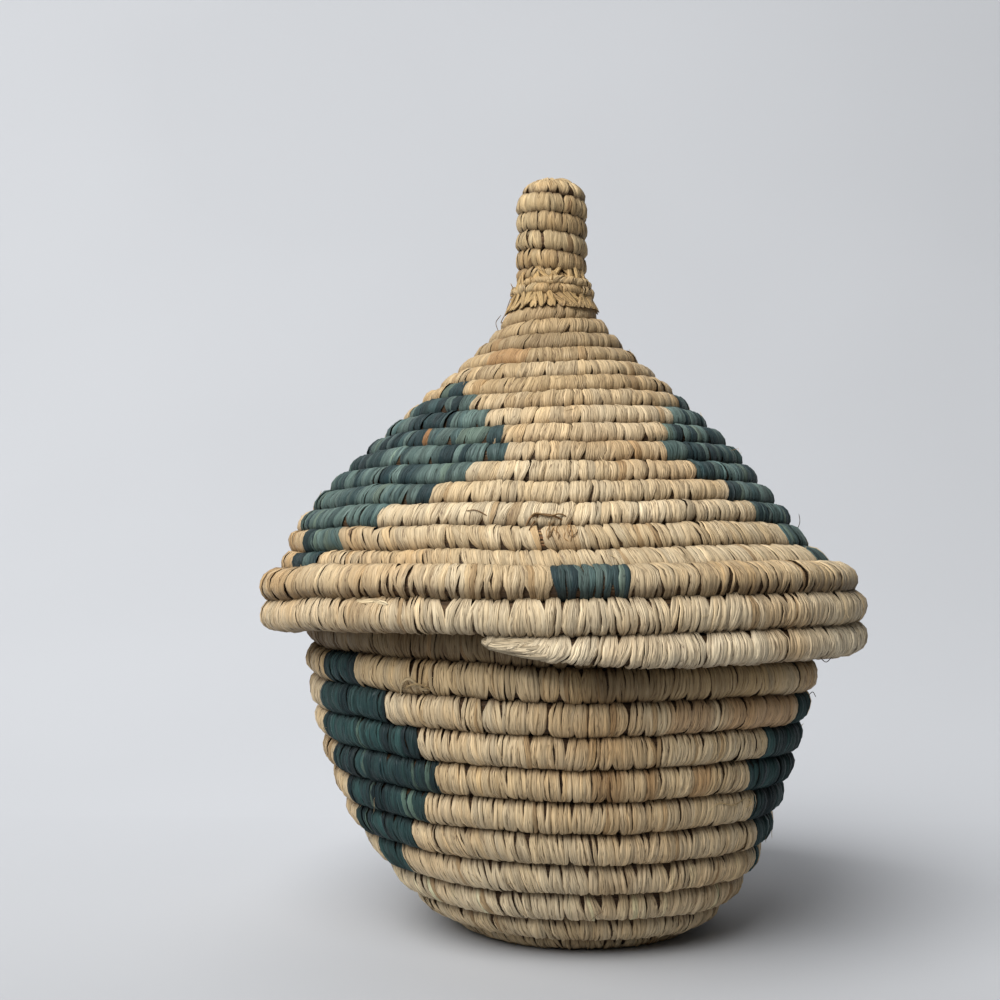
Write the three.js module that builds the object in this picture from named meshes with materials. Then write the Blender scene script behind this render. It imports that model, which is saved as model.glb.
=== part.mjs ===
// A coiled raffia basket with a peaked lid that lifts off. The bowl and the lid are each one long
// bundle of fibre, laid round and round with every turn sewn against the turn before it.
// Millimetres, +Z up. The origin is on the ground under the middle of the mouth. The front is at -Y.
// An angle is counted from the front, positive towards +X, and both bundles run clockwise seen from
// above: the bowl's from the middle of the base up to the mouth, the lid's from the neck to the rim.
import * as THREE from "three";

// Bowl, measured outside
const MOUTH_RADIUS = 44.4;
const BOWL_HEIGHT = 62.9; // of a full row at the mouth; the last row thins out a little under it
const UPRIGHT_FROM = 44; // the wall stands upright above this height
const WALL_LEAN_IN = 5.5; // pull of the wall's curve inwards, below the upright part
const WALL_LEAN_DROP = 27; // and downwards
const BASE_RADIUS = 14; // flat underside
const HEEL_SWEEP = 14; // how far the underside runs on outwards as it leaves the ground
const BASE_SHIFT = 3.2; // the hand-made base sits this far to the right of the mouth
const BASE_SHIFT_BELOW = 22; // and the wall starts to move over below this height
const GROUND_CUT = 0.5; // the base's turns are flat where they stand

// Lid, measured outside, with heights from the level of its rim's lower edge
const RIM_RADIUS = 52.6;
const RIM_TOP = 14.2;
const CONE_RADIUS = 47.6; // foot of the cone, just inside the rim
const CONE_FOOT = 15.3;
const CONE_BELLY_IN = 8.4; // pull of the cone's curve inwards, above its foot
const CONE_BELLY_RISE = 17; // and upwards
const NECK_HEIGHT = 61.2;
const NECK_FLARE = 2.1; // pull of the cone's curve outwards, below the neck
const NECK_FLARE_DROP = 8; // and downwards
const CONE_SHIFT = -2.6; // the cone leans to the left over its rim
const CONE_SHIFT_FROM = 20.4; // and has moved over in full at this height
const APEX_SHIFT = -1.4;
const APEX_SHIFT_FROM = 45.4; // the neck and finial stand less far to the left, from this height up

// Bundle: a row's height along the wall, and its thickness through the wall
const BOWL_ROW_HEIGHT = 4.68;
const HEEL_ROW_HEIGHT = 5.7; // the rows that turn up from the base are fatter
const HEEL_ROWS_TO = 28; // length from the middle of the base up to which rows are that high
const WALL_ROWS_FROM = 56; // and from which they are a wall row's height
const BOWL_ROW_THICKNESS = 4.9;
const NECK_ROW_HEIGHT = 3.1;
const NECK_ROW_THICKNESS = 3.2;
const CONE_ROW_HEIGHT = 3.83;
const CONE_ROWS_FROM = 30; // length down the cone at which its rows have grown to that height
const CONE_ROW_THICKNESS = 4.2;
const RIM_ROW_HEIGHT = 4.6;
const RIM_ROW_THICKNESS = 5.2;
const FLAT_SHARE = 0.5; // of a row's height is flat, with a ridge above and below it
const STITCH_GAP = 0.52; // what the sewing leaves between two turns
const START_SHARE = 0.45; // each bundle starts this thin and fills out over its first turn
const START_HOLE = 0.4; // left in the middle of the base
const TAIL_SHARE = 0.3; // each bundle ends this thin, over a last stretch
const BOWL_TAIL_ANGLE = THREE.MathUtils.degToRad(75);
const LID_TAIL_ANGLE = THREE.MathUtils.degToRad(30);
const BASE_START_ANGLE = THREE.MathUtils.degToRad(-15); // a whole number of steps from the front,
const NECK_START_ANGLE = THREE.MathUtils.degToRad(345); // so both bundles have sections at one angle

// Finial: a fine bundle wound round a core that stands in the lid's neck, bound at its foot
const FINIAL_RADIUS = 6.3;
const FINIAL_HEIGHT = 18.4; // above the binding
const FINIAL_ROW_HEIGHT = 2.85;
const FINIAL_ROW_THICKNESS = 2.4;
const FINIAL_CROWN_HEIGHT = 2.6; // its top closes in over this height
const FINIAL_CLOSING_RADIUS = 1.6;
const FINIAL_TAIL_ANGLE = THREE.MathUtils.degToRad(90);
const CORE_DEPTH = 6; // the core reaches this far down into the cone
const BINDING_HEIGHT = 3;
const BINDING_RADIUS = 7;
const BINDING_BULGE = 0.5; // its band is rounded by this much

const SEAT_GAP = 0.3; // between pieces that touch
const STEPS_PER_TURN = 24;
const FINIAL_STEPS_PER_TURN = 12;
const OUTLINE_POINTS = 160;
const CROWN_POINTS = 6;
const LEAST_STITCH_GAP = 0.4;
const MOUTH_TURNS = 2; // turns at the mouth that the lid may come down on
const SEARCH_ROWS = 3; // how many rows ahead the place of a turn is looked for
const HALVINGS = 24; // of the stretch that a search starts with

const CORE_RADIUS = FINIAL_RADIUS - FINIAL_ROW_THICKNESS - SEAT_GAP;
const { lerp, smoothstep } = THREE.MathUtils;
const FULL_TURN = 2 * Math.PI;
const HALF_STEP = 0.5;

/** An outline in the half plane of radius (x) and height (y), read by the length along it. */
class Outline {
  constructor(points) {
    this.points = points;
    this.lengths = [0];
    for (let i = 1; i < points.length; i++)
      this.lengths.push(this.lengths[i - 1] + points[i].distanceTo(points[i - 1]));
  }

  get length() {
    return this.lengths.at(-1);
  }

  /** The point at a length, on a straight run past either end. */
  at(length) {
    const last = this.points.length - 2;
    let i = 0;
    while (i < last && this.lengths[i + 1] < length) i++;
    const share = (length - this.lengths[i]) / (this.lengths[i + 1] - this.lengths[i]);
    return this.points[i].clone().lerp(this.points[i + 1], share);
  }
}

/** Moves a curve's points to the inner side of its outline by half a row's thickness. */
function middleOf(curve, thicknessAt) {
  const points = [];
  for (let i = 0; i <= OUTLINE_POINTS; i++) {
    const share = i / OUTLINE_POINTS;
    const along = curve.getTangentAt(share);
    const inward = new THREE.Vector2(-along.y, along.x);
    points.push(curve.getPointAt(share).addScaledVector(inward, thicknessAt(share) / 2));
  }
  return points;
}

/**
 * Lays a bundle turn by turn along an outline and returns its sections, one for each step.
 * Each turn lies against the turn before it at the same angle, a stitch gap away. The shift moves
 * the bundle's axis sideways with height, so a section also holds its corners as they then lie.
 */
function layTurns({ outline, shift, row, startAngle, startLength, steps, tailAngle }) {
  const step = FULL_TURN / steps;
  const moved = (point, angle) => new THREE.Vector2(point.x + shift(point.y) * Math.sin(angle), point.y);
  const sectionAt = (index, length, thin) => {
    const angle = startAngle - index * step;
    const size = row(length, index / steps);
    const before = outline.at(length - size.height / 2);
    const along = outline.at(length + size.height / 2).sub(before).normalize();
    const middle = outline.at(length);
    const height = size.height * thin;
    const corners = cornersOf(middle, along, height, size.thickness * thin);
    return { angle, length, height, corners, middle: moved(middle, angle), shift, moved };
  };
  // The nearest place further along the outline that is clear of the turn before
  const against = (index, earlier, thin) => {
    let low = earlier.length;
    let high = low + SEARCH_ROWS * earlier.height + STITCH_GAP;
    for (let i = 0; i < HALVINGS; i++) {
      const length = (low + high) / 2;
      const section = sectionAt(index, length, thin);
      const beside = section.middle.distanceTo(earlier.middle) > (section.height + earlier.height) / 2;
      const gap = distanceBetween(movedCorners(section), movedCorners(earlier));
      if (beside && gap > STITCH_GAP) high = length;
      else low = length;
    }
    return sectionAt(index, high, thin);
  };

  const sections = [sectionAt(0, startLength, 1)];
  const secondTurn = against(steps, sections[0], 1).length;
  for (let i = 1; i < steps; i++)
    sections.push(sectionAt(i, lerp(startLength, secondTurn, i / steps), 1));
  while (sections.at(-1).length < outline.length)
    sections.push(against(sections.length, sections[sections.length - steps], 1));
  // The tail thins out, still lying against the turn before it
  const tailSteps = Math.round(tailAngle / step);
  for (let i = sections.length - tailSteps; i < sections.length; i++) {
    const thin = lerp(TAIL_SHARE, 1, (sections.length - 1 - i) / tailSteps);
    sections[i] = against(i, sections[i - steps], thin);
  }
  return sections;
}

/** A section's six corners in the half plane: flat sides, and a ridge towards each neighbour. */
function cornersOf(middle, along, height, thickness) {
  const outward = new THREE.Vector2(along.y, -along.x);
  const corner = (alongShare, outwardShare) =>
    middle
      .clone()
      .addScaledVector(along, (alongShare * height) / 2)
      .addScaledVector(outward, (outwardShare * thickness) / 2);
  const flat = FLAT_SHARE;
  return [corner(1, 0), corner(flat, 1), corner(-flat, 1), corner(-1, 0), corner(-flat, -1), corner(flat, -1)];
}

/** A section's corners in the half plane as they lie once the axis has been moved sideways. */
function movedCorners(section) {
  return section.corners.map((corner) => section.moved(corner, section.angle));
}

/** One closed tube through all the sections, cut flat at a lowest height. */
function tubeGeometry(sections, lowest = -Infinity) {
  const positions = [];
  const indices = [];
  for (const { angle, corners, shift } of sections)
    for (const { x: radius, y: height } of corners) {
      const x = shift(height) + radius * Math.sin(angle);
      positions.push(x, -radius * Math.cos(angle), Math.max(height, lowest));
    }
  const sides = sections[0].corners.length;
  for (let i = 0; i + 1 < sections.length; i++)
    for (let j = 0; j < sides; j++) {
      const a = i * sides + j;
      const b = i * sides + ((j + 1) % sides);
      indices.push(a, a + sides, b, b, a + sides, b + sides);
    }
  const end = (sections.length - 1) * sides;
  for (let j = 1; j + 1 < sides; j++) indices.push(0, j, j + 1, end, end + j + 1, end + j);
  const geometry = new THREE.BufferGeometry();
  geometry.setAttribute("position", new THREE.Float32BufferAttribute(positions, 3));
  geometry.setIndex(indices);
  geometry.computeVertexNormals();
  return geometry;
}

/** Distance from a point to the segment between two others. */
function distanceToEdge(point, start, end) {
  const edge = end.clone().sub(start);
  const share = THREE.MathUtils.clamp(point.clone().sub(start).dot(edge) / edge.lengthSq(), 0, 1);
  return point.distanceTo(start.clone().addScaledVector(edge, share));
}

/** Least distance between two sections at one angle, each given by its corners. */
function distanceBetween(first, second) {
  let least = Infinity;
  for (const [points, edges] of [
    [first, second],
    [second, first],
  ])
    for (const point of points)
      edges.forEach((start, i) => {
        least = Math.min(least, distanceToEdge(point, start, edges[(i + 1) % edges.length]));
      });
  return least;
}

/** Measures a bundle's least gap to itself, prints it, and stops the build if the turns touch. */
function reportLeastGap(name, sections, steps) {
  const corners = sections.map(movedCorners);
  let least = Infinity;
  for (let i = steps; i < sections.length; i++)
    least = Math.min(least, distanceBetween(corners[i], corners[i - steps]));
  const turns = (sections.length / steps).toFixed(1);
  console.log(`${name}: ${turns} turns, least gap to itself ${least.toFixed(2)} mm`);
  if (least < LEAST_STITCH_GAP) throw new Error(`${name}: its turns lie closer than ${LEAST_STITCH_GAP} mm`);
}

/** How far a value has come between two others, from 0 to 1. */
function progress(value, from, to) {
  return THREE.MathUtils.clamp((value - from) / (to - from), 0, 1);
}

/** A bundle's share of its full size, after a number of turns. */
function fullness(turn) {
  return lerp(START_SHARE, 1, Math.min(turn, 1));
}

/** The bowl's bundle, from the middle of the base to the mouth. */
function bowlSections() {
  const outside = new THREE.CurvePath();
  const heel = new THREE.Vector2(BASE_RADIUS, -GROUND_CUT);
  const upright = new THREE.Vector2(MOUTH_RADIUS, UPRIGHT_FROM);
  const lastRow = new THREE.Vector2(MOUTH_RADIUS, BOWL_HEIGHT - BOWL_ROW_HEIGHT / 2);
  const heelPull = new THREE.Vector2(BASE_RADIUS + HEEL_SWEEP, -GROUND_CUT);
  const wallPull = new THREE.Vector2(MOUTH_RADIUS - WALL_LEAN_IN, UPRIGHT_FROM - WALL_LEAN_DROP);
  outside.add(new THREE.LineCurve(new THREE.Vector2(0, -GROUND_CUT), heel));
  outside.add(new THREE.CubicBezierCurve(heel, heelPull, wallPull, upright));
  outside.add(new THREE.LineCurve(upright, lastRow));
  const row = (length, turn) => {
    const share = fullness(turn);
    const onWall = progress(length, HEEL_ROWS_TO, WALL_ROWS_FROM);
    const height = lerp(HEEL_ROW_HEIGHT, BOWL_ROW_HEIGHT, onWall);
    return { height: share * height, thickness: share * BOWL_ROW_THICKNESS };
  };
  return layTurns({
    outline: new Outline(middleOf(outside, () => BOWL_ROW_THICKNESS)),
    shift: (height) => BASE_SHIFT * (1 - progress(height, 0, BASE_SHIFT_BELOW)),
    row,
    startAngle: BASE_START_ANGLE,
    startLength: START_HOLE + (START_SHARE * HEEL_ROW_HEIGHT) / 2,
    steps: STEPS_PER_TURN,
    tailAngle: BOWL_TAIL_ANGLE,
  });
}

/** Sideways place of the lid's axis at a height above its rim's lower edge. */
function lidShift(height) {
  const leaning = CONE_SHIFT * progress(height, RIM_TOP, CONE_SHIFT_FROM);
  return lerp(leaning, APEX_SHIFT, progress(height, CONE_SHIFT_FROM, APEX_SHIFT_FROM));
}

/** The lid's bundle, from the neck down the cone and out to the fat rows of the rim. */
function lidSections() {
  const neckRadius = CORE_RADIUS + SEAT_GAP + NECK_ROW_THICKNESS;
  const cone = new THREE.CubicBezierCurve(
    new THREE.Vector2(neckRadius, NECK_HEIGHT),
    new THREE.Vector2(neckRadius + NECK_FLARE, NECK_HEIGHT - NECK_FLARE_DROP),
    new THREE.Vector2(CONE_RADIUS - CONE_BELLY_IN, CONE_FOOT + CONE_BELLY_RISE),
    new THREE.Vector2(CONE_RADIUS, CONE_FOOT),
  );
  const coneLength = cone.getLength();
  const rimMiddle = RIM_RADIUS - RIM_ROW_THICKNESS / 2;
  const outline = new Outline([
    ...middleOf(cone, (share) => -lerp(NECK_ROW_THICKNESS, CONE_ROW_THICKNESS, share)),
    new THREE.Vector2(rimMiddle, RIM_TOP - RIM_ROW_HEIGHT / 2),
    new THREE.Vector2(rimMiddle, RIM_ROW_HEIGHT / 2),
  ]);
  const row = (length, turn) => {
    const share = fullness(turn);
    const onCone = progress(length, 0, CONE_ROWS_FROM);
    const onRim = smoothstep(length, coneLength - CONE_ROW_HEIGHT, coneLength + RIM_ROW_HEIGHT);
    const height = lerp(lerp(NECK_ROW_HEIGHT, CONE_ROW_HEIGHT, onCone), RIM_ROW_HEIGHT, onRim);
    const thickness = lerp(lerp(NECK_ROW_THICKNESS, CONE_ROW_THICKNESS, onCone), RIM_ROW_THICKNESS, onRim);
    return { height: share * height, thickness: share * thickness };
  };
  return layTurns({
    outline,
    shift: lidShift,
    row,
    startAngle: NECK_START_ANGLE,
    startLength: 0,
    steps: STEPS_PER_TURN,
    tailAngle: LID_TAIL_ANGLE,
  });
}

/** The finial's upright side and domed top, at a distance in from its outside, with the foot at 0. */
function finialOutline(inset, closingRadius) {
  const radius = FINIAL_RADIUS - inset;
  const crownBase = FINIAL_HEIGHT - FINIAL_CROWN_HEIGHT - FINIAL_ROW_THICKNESS / 2;
  const crownRise = FINIAL_HEIGHT - inset - crownBase;
  const points = [new THREE.Vector2(radius, crownBase)];
  for (let i = 1; i <= CROWN_POINTS; i++) {
    const angle = (i / CROWN_POINTS) * (Math.PI / 2);
    const inwards = (radius - closingRadius) * (1 - Math.cos(angle));
    points.push(new THREE.Vector2(radius - inwards, crownBase + crownRise * Math.sin(angle)));
  }
  return points;
}

/** The fine bundle wound up the finial and in over its top, with its foot at 0. */
function finialSections() {
  const inset = FINIAL_ROW_THICKNESS / 2;
  const foot = new THREE.Vector2(FINIAL_RADIUS - inset, (START_SHARE * FINIAL_ROW_HEIGHT) / 2);
  return layTurns({
    outline: new Outline([foot, ...finialOutline(inset, FINIAL_CLOSING_RADIUS)]),
    shift: () => 0,
    row: (length, turn) => ({ height: fullness(turn) * FINIAL_ROW_HEIGHT, thickness: FINIAL_ROW_THICKNESS }),
    startAngle: 0,
    startLength: 0,
    steps: FINIAL_STEPS_PER_TURN,
    tailAngle: FINIAL_TAIL_ANGLE,
  });
}

/** A solid turned about the upright axis, its corners at the same angles as a wound bundle's. */
function turnedGeometry(points, steps) {
  return new THREE.LatheGeometry(points, steps).rotateX(Math.PI / 2);
}

/** The core: a plain rod up to the crown, whose domed end lies a seat gap under the winding. */
function coreGeometry(foot) {
  const inset = FINIAL_RADIUS - CORE_RADIUS;
  const points = finialOutline(inset, 0).map((point) => point.setY(point.y + foot));
  const bottom = NECK_HEIGHT - CORE_DEPTH;
  return turnedGeometry(
    [new THREE.Vector2(0, bottom), new THREE.Vector2(CORE_RADIUS, bottom), ...points],
    FINIAL_STEPS_PER_TURN,
  );
}

/** The binding: a band with a rounded outside, tied round the core between the cone and the finial. */
function bindingGeometry(foot) {
  const inner = CORE_RADIUS + SEAT_GAP;
  const edge = BINDING_RADIUS - BINDING_BULGE;
  const top = foot + BINDING_HEIGHT;
  return turnedGeometry(
    [
      new THREE.Vector2(inner, foot),
      new THREE.Vector2(edge, foot),
      new THREE.Vector2(BINDING_RADIUS, foot + BINDING_BULGE),
      new THREE.Vector2(BINDING_RADIUS, top - BINDING_BULGE),
      new THREE.Vector2(edge, top),
      new THREE.Vector2(inner, top),
      new THREE.Vector2(inner, foot),
    ],
    STEPS_PER_TURN,
  );
}

/** Least distance between two bundles where they lie at one angle, with the first one raised. */
function clearanceOf(raised, standing, rise) {
  let least = Infinity;
  for (const low of standing)
    for (const high of raised) {
      const turn = (high.angle - low.angle) / FULL_TURN;
      if (Math.abs(turn - Math.round(turn)) * STEPS_PER_TURN > HALF_STEP) continue;
      const lifted = high.corners.map((corner) => new THREE.Vector2(corner.x, corner.y + rise));
      least = Math.min(least, distanceBetween(lifted, low.corners));
    }
  return least;
}

/** Height at which the lid comes to rest on the bowl's topmost turns, a seat gap above them. */
function seatHeight(lid, bowl) {
  const withCorners = (section) => ({ angle: section.angle, corners: movedCorners(section) });
  const rows = lid.map(withCorners);
  const mouth = bowl.slice(-MOUTH_TURNS * STEPS_PER_TURN).map(withCorners);
  let height = BOWL_HEIGHT;
  while (clearanceOf(rows, mouth, height) > SEAT_GAP) height -= SEAT_GAP;
  let low = height;
  let high = height + SEAT_GAP;
  for (let i = 0; i < HALVINGS; i++) {
    height = (low + high) / 2;
    if (clearanceOf(rows, mouth, height) < SEAT_GAP) low = height;
    else high = height;
  }
  return high;
}

/** A named piece with a material of its own. */
function piece(name, geometry, color, roughness) {
  const mesh = new THREE.Mesh(geometry, new THREE.MeshStandardMaterial({ color, roughness, metalness: 0 }));
  mesh.name = name;
  return mesh;
}

const bowl = bowlSections();
const lid = lidSections();
const finial = finialSections();
reportLeastGap("bowl_coil", bowl, STEPS_PER_TURN);
reportLeastGap("lid_coil", lid, STEPS_PER_TURN);
reportLeastGap("finial_wrap", finial, FINIAL_STEPS_PER_TURN);

const lidTop = Math.max(...lid.flatMap((section) => section.corners).map((corner) => corner.y));
const bindingFoot = lidTop + SEAT_GAP;
const finialFoot = bindingFoot + BINDING_HEIGHT + SEAT_GAP;
const finialGroup = new THREE.Group();
finialGroup.position.x = APEX_SHIFT;
const finialWrap = piece("finial_wrap", tubeGeometry(finial), 0xbfa878, 0.85);
finialWrap.position.z = finialFoot;
finialGroup.add(
  piece("finial_core", coreGeometry(finialFoot), 0x8a7048, 0.9),
  piece("neck_binding", bindingGeometry(bindingFoot), 0xc2a874, 0.85),
  finialWrap,
);

const lidGroup = new THREE.Group();
lidGroup.position.z = seatHeight(lid, bowl);
lidGroup.add(piece("lid_coil", tubeGeometry(lid), 0xd6c196, 0.8), finialGroup);
console.log(`The lid's rim stands ${lidGroup.position.z.toFixed(2)} mm above the ground`);

const basket = new THREE.Group();
basket.add(piece("bowl_coil", tubeGeometry(bowl, 0), 0xd2bc90, 0.8), lidGroup);

export default basket;
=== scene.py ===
"""The looks of a small coiled raffia basket with a peaked lid, built round its CAD frame.

The bowl and the lid are each one bundle of fibre, laid round and round and sewn with raffia. Here
every sewing strand is a ribbon of its own, wrapped round the bundle and pinched where it dives into
the turn before. Sizes are in millimetres, and meshes are made in metres. An angle is counted from
the front (-Y), positive towards +X, and every bundle runs clockwise seen from above.
"""

import logging
import math
from collections.abc import Callable, Iterable
from dataclasses import dataclass, field
from enum import Enum
from functools import partial
from typing import ClassVar, NamedTuple

import bpy
import numpy as np
from numpy.typing import NDArray
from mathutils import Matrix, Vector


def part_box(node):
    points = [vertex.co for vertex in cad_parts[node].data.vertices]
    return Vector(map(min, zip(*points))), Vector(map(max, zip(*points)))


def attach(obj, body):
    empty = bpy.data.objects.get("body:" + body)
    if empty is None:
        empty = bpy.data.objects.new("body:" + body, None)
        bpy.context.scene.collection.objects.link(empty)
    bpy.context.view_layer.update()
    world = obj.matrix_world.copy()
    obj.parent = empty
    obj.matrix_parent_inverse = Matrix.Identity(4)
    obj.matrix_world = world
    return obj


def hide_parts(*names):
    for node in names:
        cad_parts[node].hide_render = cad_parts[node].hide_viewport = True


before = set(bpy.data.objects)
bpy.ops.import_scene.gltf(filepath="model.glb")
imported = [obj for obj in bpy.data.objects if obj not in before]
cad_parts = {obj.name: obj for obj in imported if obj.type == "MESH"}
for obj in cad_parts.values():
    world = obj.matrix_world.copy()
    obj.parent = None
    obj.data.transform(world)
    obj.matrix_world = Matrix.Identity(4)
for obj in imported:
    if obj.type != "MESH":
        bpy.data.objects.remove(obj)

Array = NDArray[np.float64]
Colour = tuple[float, float, float]
Place = tuple[float, float, float]
Dye = Callable[[Array, np.random.Generator], tuple[Array, NDArray[np.bool_]]]

LOG = logging.getLogger("basket")
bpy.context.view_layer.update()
MM = 0.001
FULL_TURN = 2 * math.pi
CURVE_POINTS = 600  # of a curve before it is spaced out evenly
OUTLINE_POINTS = 161  # of a wall's outline once it is
LARGEST_LOT = 2000  # strands in one mesh
BUNDLE_FILL = 1.22  # how much nearer to the next turn than to the wall's faces a bundle reaches
FREE_DEPTH = 0.05  # share of the grooves' painted shade that a loose strand gets, all along it


class Body(str, Enum):
    """The two bodies of the frame."""

    BASKET = "basket"
    LID = "lid"


class Slot(str, Enum):
    """The record's material slots."""

    BOWL = "raffia_bowl"
    LID = "raffia_lid"
    FINIAL = "raffia_finial"
    CORE = "fibre_core"


class Side(float, Enum):
    """On which hand of a bundle's course its outside lies, with radius right and height up."""

    RIGHT = 1.0
    LEFT = -1.0


# ---- Small helpers ----


def smooth(value: Array, low: float, high: float) -> Array:
    """Eases a value from 0 to 1 between two limits.

    Args:
        value: The values.
        low: Where it is still 0.
        high: Where it has come to 1; it may be under low.

    Returns:
        The eased values.
    """
    share = np.clip((value - low) / (high - low), 0.0, 1.0)
    return share * share * (3.0 - 2.0 * share)


def progress(value: float, low: float, high: float) -> float:
    """How far a value has come between two others, from 0 to 1."""
    return min(max((value - low) / (high - low), 0.0), 1.0)


def lerp(low: float, high: float, share: float) -> float:
    """The value at a share of the way from low to high."""
    return low + (high - low) * share


def mixed(first: Colour, second: Colour, share: float) -> Colour:
    """The colour at a share of the way from one to another."""
    return tuple(lerp(a, b, share) for a, b in zip(first, second))


def linear(colour: Colour) -> Colour:
    """Turns a display colour, 0 to 1, into the linear light that shaders take."""
    return tuple(
        c / 12.92 if c <= 0.04045 else ((c + 0.055) / 1.055) ** 2.4 for c in colour
    )


def wander(place: Array, step: float, rng: np.random.Generator) -> Array:
    """Smooth random values, about -1 to 1, along a line.

    Args:
        place: Places along the line.
        step: Distance over which the value changes.
        rng: Source of the random numbers.

    Returns:
        One value for each place.
    """
    at = (place - place.min()) / step
    knots = rng.normal(0.0, 0.6, int(at.max()) + 3)
    index = at.astype(int)
    share = smooth(at - index, 0.0, 1.0)
    return knots[index] * (1 - share) + knots[index + 1] * share


def catmull_rom(four: Iterable[Array], share: Array) -> Array:
    """Values between the second and the third of four neighbouring knots.

    Args:
        four: The knots.
        share: How far on from the second knot each value lies.

    Returns:
        The values, on a smooth curve through all the knots.
    """
    p0, p1, p2, p3 = four
    return 0.5 * (
        2 * p1
        + (p2 - p0) * share
        + (2 * p0 - 5 * p1 + 4 * p2 - p3) * share**2
        + (3 * p1 - p0 - 3 * p2 + p3) * share**3
    )


def eased_path(knots: Array, count: int) -> Array:
    """A smooth path through some points.

    Args:
        knots: The points.
        count: Number of points wanted.

    Returns:
        The path.
    """
    padded = np.concatenate([[2 * knots[0] - knots[1]], knots, [2 * knots[-1] - knots[-2]]])
    at = np.linspace(0, len(knots) - 1 - 1e-6, count)
    i = at.astype(int)
    return catmull_rom((padded[i + k] for k in range(4)), (at - i)[:, None])


# ---- The bundles' courses ----


class Outline:
    """A line in the half plane of radius and height, read by the length along it."""

    def __init__(self, points: Array) -> None:
        """Measures the line.

        Args:
            points: Its points, as radius and height.
        """
        self.points = points
        steps = np.linalg.norm(np.diff(points, axis=0), axis=1)
        self.lengths = np.concatenate([[0.0], np.cumsum(steps)])

    @property
    def length(self) -> float:
        """The whole length."""
        return float(self.lengths[-1])

    def at(self, length: float) -> Array:
        """The point at a length, on a straight run past either end.

        Args:
            length: The length along the line.

        Returns:
            Its radius and height.
        """
        i = int(np.clip(np.searchsorted(self.lengths, length) - 1, 0, len(self.points) - 2))
        share = (length - self.lengths[i]) / (self.lengths[i + 1] - self.lengths[i])
        return self.points[i] + share * (self.points[i + 1] - self.points[i])

    def evenly(self, count: int) -> Array:
        """The line's points again, an equal length apart."""
        return np.array([self.at(s) for s in np.linspace(0.0, self.length, count)])


def curve_between(start: Array, pull_out: Array, pull_in: Array, end: Array) -> Array:
    """Points of a cubic Bezier curve.

    Args:
        start: Where it starts.
        pull_out: The point that it sets out towards.
        pull_in: The point that it arrives from.
        end: Where it ends.

    Returns:
        Its points, close together.
    """
    t = np.linspace(0.0, 1.0, CURVE_POINTS)[:, None]
    return (
        (1 - t) ** 3 * start
        + 3 * (1 - t) ** 2 * t * pull_out
        + 3 * (1 - t) * t**2 * pull_in
        + t**3 * end
    )


def set_in(points: Array, depth: Array) -> Array:
    """Moves a line's points to its left.

    Args:
        points: The points.
        depth: How far each point moves.

    Returns:
        The points, moved.
    """
    along = np.gradient(points, axis=0)
    along /= np.linalg.norm(along, axis=1)[:, None]
    return points + np.stack([-along[:, 1], along[:, 0]], 1) * depth[:, None]


def polygon_gap(first: Array, second: Array) -> float:
    """Least distance between two polygons that don't overlap.

    Args:
        first: Corners of one.
        second: Corners of the other.

    Returns:
        The distance.
    """
    least = math.inf
    for points, corners in ((first, second), (second, first)):
        edge = np.roll(corners, -1, axis=0) - corners
        apart = points[:, None] - corners[None]
        share = np.clip((apart * edge).sum(2) / (edge * edge).sum(1), 0.0, 1.0)
        away = apart - share[..., None] * edge
        least = min(least, float(np.sqrt((away * away).sum(2)).min()))
    return least


@dataclass(frozen=True)
class Row:
    """A bundle's height along the wall and thickness through it, at one place."""

    height: float
    thickness: float


@dataclass
class Course:
    """What one bundle's course is laid from."""

    outline: Outline
    shift: Callable[[Array], Array]
    row: Callable[[float, float], Row]
    start_angle: float
    start_length: float
    steps: int  # sections in one turn
    tail_angle: float  # over which the bundle's end thins out
    side: Side
    stitch_gap: float = 0.52  # between a turn and the next
    tail_share: float = 0.3  # of the bundle's size, left at its very end
    flat_share: float = 0.5  # of a row's height over which its faces are flat
    search_rows: float = 3.0  # how far on the next turn is looked for
    halvings: int = 24


class Section(NamedTuple):
    """One section of a bundle as it is laid."""

    angle: float
    place: float  # length along the outline
    height: float
    thickness: float
    middle: Array
    along: Array  # the outline's direction there


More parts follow.
